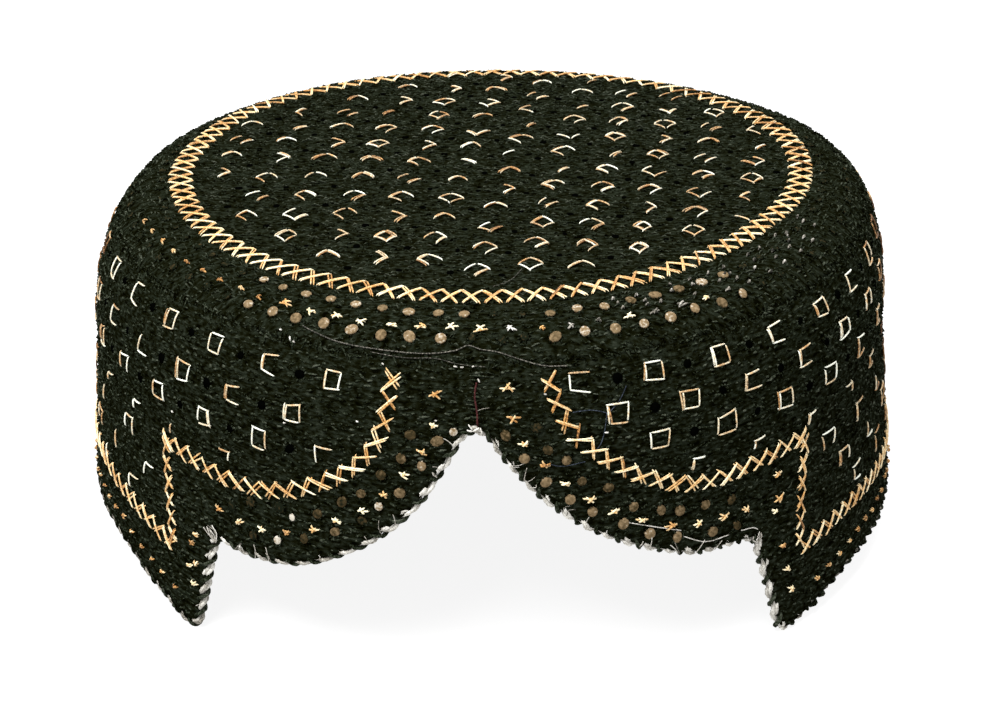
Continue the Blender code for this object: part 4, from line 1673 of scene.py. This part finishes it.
# %% [markdown]
# ## The seams
# Crown and band are whipped together with short black stitches over both edges, and so are the band's
# two ends at the notch. The stitches are as fine as the ground's and almost lost in it.
# %% Whipped stitches over the crown seam
SEAM_STITCHES = 400
SEAM_LENGTH = 0.0022
SEAM_THREAD = 0.00044
SEAM_LIFT = 0.0001
SEAM_TONES = (0.0, 0.45)
PLACE_SLIP = 0.2
SEAM_LEAN = (0.25, 0.25)
END_SLIP = 0.0007
turns = np.linspace(0, 360, SEAM_STITCHES, endpoint=False) + rng.normal(0, PLACE_SLIP, SEAM_STITCHES)
lean = rng.normal(*SEAM_LEAN, SEAM_STITCHES)
slips = rng.normal(0, END_SLIP, (2, SEAM_STITCHES))
starts = np.column_stack([turns - lean, SEAM_WAY - SEAM_LENGTH / 2 + slips[0]])
ends = np.column_stack([turns + lean, SEAM_WAY + SEAM_LENGTH / 2 + slips[1]])
places = stitch_places(starts, ends, SEAM_THREAD, SEAM_LIFT)
sew("crown_seam", FINE_STITCH, places, BLACK, rng.uniform(*SEAM_TONES, SEAM_STITCHES))

# %% Whipped stitches over the front seam
FRONT_START, FRONT_END, FRONT_PITCH = 0.0025, 0.001, 0.00085
FRONT_HALF = 0.0017
FRONT_SLIP = 0.30
FRONT_DROP = 0.0003
FRONT_THREAD = 0.00048
FRONT_TONES = (0.1, 0.6)
notch_way = float(flat_to_cap(HEM[0])[1])
seam_ways = np.arange(SEAM_WAY + FRONT_START, notch_way - FRONT_END, FRONT_PITCH)
half = math.degrees(FRONT_HALF / HEM_RADIUS)
slips = rng.normal(0, FRONT_SLIP, (2, len(seam_ways)))
starts = np.column_stack([NOTCH_AZIMUTH - half + slips[0], seam_ways])
ends = np.column_stack([NOTCH_AZIMUTH + half + slips[1], seam_ways + FRONT_DROP])
places = stitch_places(starts, ends, FRONT_THREAD, SEAM_LIFT)
sew("front_seam", FINE_STITCH, places, BLACK, rng.uniform(*FRONT_TONES, len(places)))

# %% [markdown]
# ## Loose and laid threads
# A few threads don't belong to a pattern: pale ones laid along the crown seam or caught on the right
# lobe, blue ones beside the gold line, and a dark red one down the front seam. Each is a thin round
# tube along a smooth line, swept ring by ring. A curve with a bevel could do the same, but a mesh can
# carry the tint that its material reads.
# %% A tube along a line of points
def tube(points, sides_out, radius, sides, closed):
    """Corners and faces of a round tube. sides_out gives each point a direction that isn't the line's."""
    points = np.asarray(points, float)
    if closed:
        course = np.roll(points, -1, axis=0) - np.roll(points, 1, axis=0)
    else:
        course = np.gradient(points, axis=0)
    course /= np.linalg.norm(course, axis=1, keepdims=True)
    first = sides_out - (sides_out * course).sum(axis=1, keepdims=True) * course
    first /= np.linalg.norm(first, axis=1, keepdims=True)
    second = np.cross(course, first)
    angles = (np.arange(sides) * 2 * math.pi / sides)[None, :, None]
    radius = np.broadcast_to(radius, len(points))[:, None, None]
    ring = np.cos(angles) * first[:, None] + np.sin(angles) * second[:, None]
    corners = (points[:, None] + radius * ring).reshape(-1, 3)
    count = len(points)
    faces = []
    for index in range(count if closed else count - 1):
        here, there = index * sides, (index + 1) % count * sides
        for corner in range(sides):
            beside = (corner + 1) % sides
            faces.append((here + corner, here + beside, there + beside, there + corner))
    if not closed:
        faces.append(tuple(range(sides))[::-1])
        faces.append(tuple(range((count - 1) * sides, count * sides)))
    return corners, faces


def add_tubes(name, tubes, material):
    """One piece of several tubes, each (corners, faces, tint of each corner)."""
    corners, faces, tints = [], [], []
    for some_corners, some_faces, tint in tubes:
        faces += [tuple(len(corners) + index for index in face) for face in some_faces]
        corners += some_corners.tolist()
        tints += np.broadcast_to(tint, len(some_corners)).tolist()
    data = bpy.data.meshes.new(name)
    data.from_pydata(corners, [], faces)
    attribute = data.attributes.new("tint", "FLOAT", "POINT")
    attribute.data.foreach_set("value", tints)
    data.shade_smooth()
    data.materials.append(material)
    piece = bpy.data.objects.new(name, data)
    bpy.context.scene.collection.objects.link(piece)
    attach(piece, "root")
    print(f"{name}: {len(faces)} faces")
    return piece


# %% Threads laid or caught on the cloth
THREAD_STEP = 0.0006
THREAD_SLIP = 0.00004
THREAD_SIDES = 5


def cap_thread(places, radius, tint, lift=0.00035):
    """A thin tube over the cloth through (azimuth, distance in mm) places."""
    flat = [np.array((math.radians(azimuth) * HEM_RADIUS, way / 1000)) for azimuth, way in places]
    line = np.array(eased_curve(flat, THREAD_STEP))
    azimuth, way = np.degrees(line[:, 0] / HEM_RADIUS), line[:, 1]
    _, _, out = skin_axes(azimuth, way)
    points = skin(azimuth, way) + out * (lift + rng.normal(0, THREAD_SLIP, len(line)))[:, None]
    corners, faces = tube(points, out, radius, THREAD_SIDES, False)
    return corners, faces, tint


SEAM_LAID = (
    (-28.0, 84.6),
    (-25.7, 85.4),
    (-21.4, 86.5),
    (-14.6, 86.8),
    (-9.0, 86.7),
    (-5.3, 85.8),
    (-3.5, 84.6),
    (-1.8, 85.4),
    (0.7, 86.0),
    (4.3, 87.9),
    (7.0, 89.1),
    (10.0, 89.4),
)
WHITE_THREADS = (
    # its places, radius in metres and tint: two laid at the seam, one on the crown, and four caught
    (SEAM_LAID, 0.00013, -0.06),
    (((-17.0, 87.5), (-12.0, 87.9), (-8.0, 87.6), (-4.5, 88.6), (-1.0, 89.0)), 0.00008, -0.10),
    (((0.0, 63.8), (3.3, 61.2), (6.3, 55.8)), 0.00007, -0.06),
    (((-2.1, 98.0), (-1.3, 97.5), (-0.4, 97.3)), 0.00007, 0.2),
    (((16.7, 124.8), (20.3, 126.9), (24.9, 129.6)), 0.00011, 0.65),
    (((25.3, 131.2), (28.6, 133.8), (32.2, 133.9)), 0.00011, 0.65),
    (((34.2, 133.9), (36.2, 134.3), (37.1, 135.2)), 0.00011, 0.65),
)
add_tubes("caught_threads", [cap_thread(*row) for row in WHITE_THREADS], WHITE)

# %% Blue and red threads
BLUE_RADIUS, BLUE_TINT = 0.00010, 0.55
RED_RADIUS, RED_TINT = 0.00020, 0.5
BLUE_THREADS = (
    ((10.3, 98.9), (12.6, 98.8), (14.4, 99.6), (14.7, 100.3), (14.0, 105.6), (13.0, 108.1)),
    ((7.0, 109.7), (8.6, 110.5), (10.1, 110.3), (11.8, 109.9)),
    ((14.6, 100.4), (16.5, 97.6), (17.6, 94.8)),
)
RED_THREAD = ((-2.2, 92.2), (-2.4, 95.0), (-2.1, 98.0), (-2.0, 101.2))
blue = [cap_thread(places, BLUE_RADIUS, BLUE_TINT) for places in BLUE_THREADS]
add_tubes("blue_threads", blue, BLUE)
add_tubes("red_thread", [cap_thread(RED_THREAD, RED_RADIUS, RED_TINT)], RED)

# %% White flecks where a thread was snipped, and the knot at the notch
FLECKS = (
    # azimuth, distance from the middle in mm, length in mm, turn in degrees
    (-5.1, 89.1, 0.9, 8),
    (-4.2, 89.2, 0.8, 0),
    (-2.7, 89.0, 0.6, -10),
    (-1.9, 91.8, 0.9, 60),
    (-15.0, 89.6, 0.6, 30),
    (-29.1, 87.8, 1.0, 65),
    (-28.4, 88.3, 0.6, 20),
    (-31.0, 86.6, 0.6, 0),
    (6.8, 94.8, 0.6, 10),
    (14.6, 103.9, 0.9, 5),
    (-48.0, 112.9, 0.6, 40),
    (-28.1, 105.5, 0.5, 0),
    (-17.8, 102.1, 0.6, 15),
    (-7.4, 100.3, 0.6, 0),
    (-2.9, 101.4, 1.5, 50),
    (-2.2, 101.9, 1.6, -30),
    (-1.5, 102.2, 1.4, 70),
    (-3.0, 102.2, 1.3, 10),
)
FLECK_THREAD, FLECK_LIFT = 0.00034, 0.0004
FLECK_TONES = (0.5, 1.0)
starts, ends = [], []
for azimuth, way, length, turn in FLECKS:
    half = length / 2000
    along = math.degrees(half * math.cos(math.radians(turn)) / HEM_RADIUS)
    down = half * math.sin(math.radians(turn))
    starts.append((azimuth - along, way / 1000 - down))
    ends.append((azimuth + along, way / 1000 + down))
places = stitch_places(starts, ends, FLECK_THREAD, FLECK_LIFT)
sew("white_flecks", STITCH, places, WHITE, rng.uniform(*FLECK_TONES, len(places)))

# %% [markdown]
# ## The hem cord
# Two plies, one black and one off-white, twist round each other along the whole hem, and each ply is
# itself three loose strands. The white one is the thicker. Round the back and the right side the cord
# is worked over with black, so its white hardly shows there. Each strand is a tube that winds round its
# ply as the ply winds round the hem, which gives the ridges and gaps of real cord that a bump on one
# tube would only hint at.
# %% The cord's twist and whiteness along the hem
CORD_TABLE = (
    # station in mm from the notch, leftwards; length of one twist in mm; how white the white ply is
    (0, 6.0, 0.65),
    (12, 6.8, 0.82),
    (30, 6.2, 0.80),
    (50, 5.6, 0.58),
    (70, 5.0, 0.58),
    (80, 4.6, 0.76),
    (100, 4.6, 0.72),
    (104, 5.0, 0.42),
    (150, 5.1, 0.36),
    (230, 5.1, 0.22),
    (470, 5.1, 0.15),
    (552, 5.1, 0.05),
    (560, 5.6, 0.45),
    (568, 6.2, 0.82),
    (585, 5.8, 0.80),
    (600, 5.1, 0.62),
    (640, 5.2, 0.76),
    (670, 6.0, 0.65),
)
table_stations, table_twists, table_whiteness = np.array(CORD_TABLE).T
PLY_STEP = 0.00034
STRANDS = 3
STRAND_SIDES = 5
STRAND_TWIST = 0.0042
PLY_SWELL = 0.85
STREAK_POINTS = 9
STREAK_THICKNESS = 0.10
STREAK_TONE = 0.13
STRAND_TONE = 0.08
PLIES = (
    # name, phase, the ply's distance from the cord's line, its strands' distance from its own, their radius
    ("cord_white_ply", 0.0, 0.00045, 0.00042, 0.00046, WHITE),
    ("cord_black_ply", math.pi, 0.00088, 0.00023, 0.00030, BLACK),
)
steps = int(HEM_LENGTH / PLY_STEP)
stations = np.arange(steps) * HEM_LENGTH / steps
azimuth, way = flat_to_cap(hem_offset(stations, np.zeros(steps)))
_, _, out = skin_axes(azimuth, way)
centre = skin(azimuth, way) - out * CLOTH_WALL / 2
course = np.roll(centre, -1, axis=0) - np.roll(centre, 1, axis=0)
course /= np.linalg.norm(course, axis=1, keepdims=True)
inwards = np.cross(course, out)
inwards /= np.linalg.norm(inwards, axis=1, keepdims=True)
turns = np.cumsum(PLY_STEP * 1000 / np.interp(stations * 1000, table_stations, table_twists))
turns *= 2 * math.pi * round(turns[-1]) / turns[-1]
whiteness = np.interp(stations * 1000, table_stations, table_whiteness)


# %% Twist the strands into plies and the plies into the cord
def streaks(count, reach):
    """Smooth random numbers along a closed line, each an average over a reach of points."""
    raw = rng.normal(0, 1, count)
    wide = np.concatenate([raw, raw[: reach - 1]])
    return np.convolve(wide, np.ones(reach) / math.sqrt(reach), mode="valid")


strand_turns = -2 * math.pi * round(HEM_LENGTH / STRAND_TWIST) * stations / HEM_LENGTH
for name, phase, ply_way, strand_way, radius, material in PLIES:
    swing = np.cos(turns + phase)[:, None] * out + np.sin(turns + phase)[:, None] * inwards
    beside = np.cross(course, swing)
    strands = []
    for strand in range(STRANDS):
        angle = strand_turns + 2 * math.pi * strand / STRANDS
        spoke = np.cos(angle)[:, None] * swing + np.sin(angle)[:, None] * beside
        swell = PLY_SWELL + (1 - PLY_SWELL) * 2 * whiteness
        thick = radius * (swell + STREAK_THICKNESS * streaks(steps, STREAK_POINTS))
        line = centre + ply_way * swing + strand_way * spoke
        corners, faces = tube(line, swing, thick, STRAND_SIDES, True)
        tint = whiteness + STREAK_TONE * streaks(steps, STREAK_POINTS) - STRAND_TONE * strand
        strands.append((corners, faces, np.repeat(tint, STRAND_SIDES)))
    ply = add_tubes(name, strands, material)
    if material is WHITE:
        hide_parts("hem_cord")

# %% Black knots worked over the cord from tip to tip, round the back, and thicker on the right
KNOT_START, KNOT_END, KNOT_PITCH = 0.108, 0.560, 0.0042
KNOT_SLIP = 0.0003
KNOT_ROOM = 0.0024
KNOT_HALF = 0.0011
KNOT_INSET = -0.0008
KNOT_THREADS = (0.0010, 0.0014)
KNOT_THICKNESSES = (0.85, 1.15)
KNOT_TONES = (0.0, 0.6)
knots = np.arange(KNOT_START, KNOT_END, KNOT_PITCH)
knots = knots + rng.normal(0, KNOT_SLIP, len(knots))
knots = knots[hem_offset(knots, np.zeros(len(knots)))[:, 1] > KNOT_ROOM]
before = flat_to_cap(hem_offset(knots - KNOT_HALF, np.full(len(knots), KNOT_INSET / 2)))
after = flat_to_cap(hem_offset(knots + KNOT_HALF, np.full(len(knots), KNOT_INSET)))
thread = np.where(knots > HEM_LENGTH / 2, KNOT_THREADS[1], KNOT_THREADS[0])[:, None]
thread = thread * rng.uniform(*KNOT_THICKNESSES, (len(knots), 1))
places = stitch_places(np.column_stack(before), np.column_stack(after), thread, -CLOTH_WALL / 2)
sew("cord_knots", STITCH, places, BLACK, rng.uniform(*KNOT_TONES, len(places)))

# %% Loose white fibres that cross the hem, and a bunch of them at each step
FIBRES_A_LOBE = 14
FIBRE_STATIONS = (6.0, 78.0)
FIBRE_LEAN = 1.1
FIBRE_REACHES = (0.8, 2.8)
FIBRE_ROOT = -0.4
FIBRE_SLIP = 0.3
FIBRE_RADII = (0.00006, 0.00011)
FIBRE_TONES = (0.0, 0.6)
FIBRE_LIFT = 0.0005
fibres = []
for side in (1, -1):
    for station in rng.uniform(*FIBRE_STATIONS, FIBRES_A_LOBE):
        lean, reach = rng.normal(0.0, FIBRE_LEAN), rng.uniform(*FIBRE_REACHES)
        insets = (FIBRE_ROOT, 0.5 * reach, reach)
        shifts = (0.0, 0.5 * lean + rng.normal(0, FIBRE_SLIP), lean)
        places = []
        for inset, shift in zip(insets, shifts):
            azimuth, way = hem_point(side * (station + shift) / 1000, inset / 1000)
            places.append((azimuth, way * 1000))
        radius, tint = rng.uniform(*FIBRE_RADII), rng.uniform(*FIBRE_TONES)
        fibres.append(cap_thread(places, radius, tint, FIBRE_LIFT))
STEP_BUNCHES = (
    # where the bunch leaves the hem, and the middle and spread of its ends: azimuth, distance in mm
    ((-39.3, 139.2), (-40.7, 136.6), 0.8),
    ((37.0, 138.2), (37.2, 136.2), 0.7),
)
BUNCH_FIBRES = 7
BUNCH_BOW = 0.5
BUNCH_SLIP = (0.2, 0.5)
BUNCH_TONES = (0.1, 0.8)
for root, tip, spread in STEP_BUNCHES:
    for share in np.linspace(-1, 1, BUNCH_FIBRES):
        end_azimuth = tip[0] + spread * share + rng.normal(0, BUNCH_SLIP[0])
        end = (end_azimuth, tip[1] + rng.normal(0, BUNCH_SLIP[1]))
        middle_way = (root[1] + end[1]) / 2 + rng.normal(0, FIBRE_SLIP)
        bend = ((root[0] + end[0]) / 2 + BUNCH_BOW * share, middle_way)
        tint = rng.uniform(*BUNCH_TONES)
        fibres.append(cap_thread((root, bend, end), FIBRE_RADII[1], tint, FIBRE_LIFT))
add_tubes("hem_fibres", fibres, WHITE)

# %% [markdown]
# The crown was cut from a round of cloth and the band from a strip, and both are held in shape by their
# seams and their dense stitching. From the drawing, the band's depth below the crown seam is taken at
# each point of the hem.
hem_way = np.interp(-HEM[:, 1], -PROFILE_HEIGHT, PROFILE_WAY) - SEAM_WAY
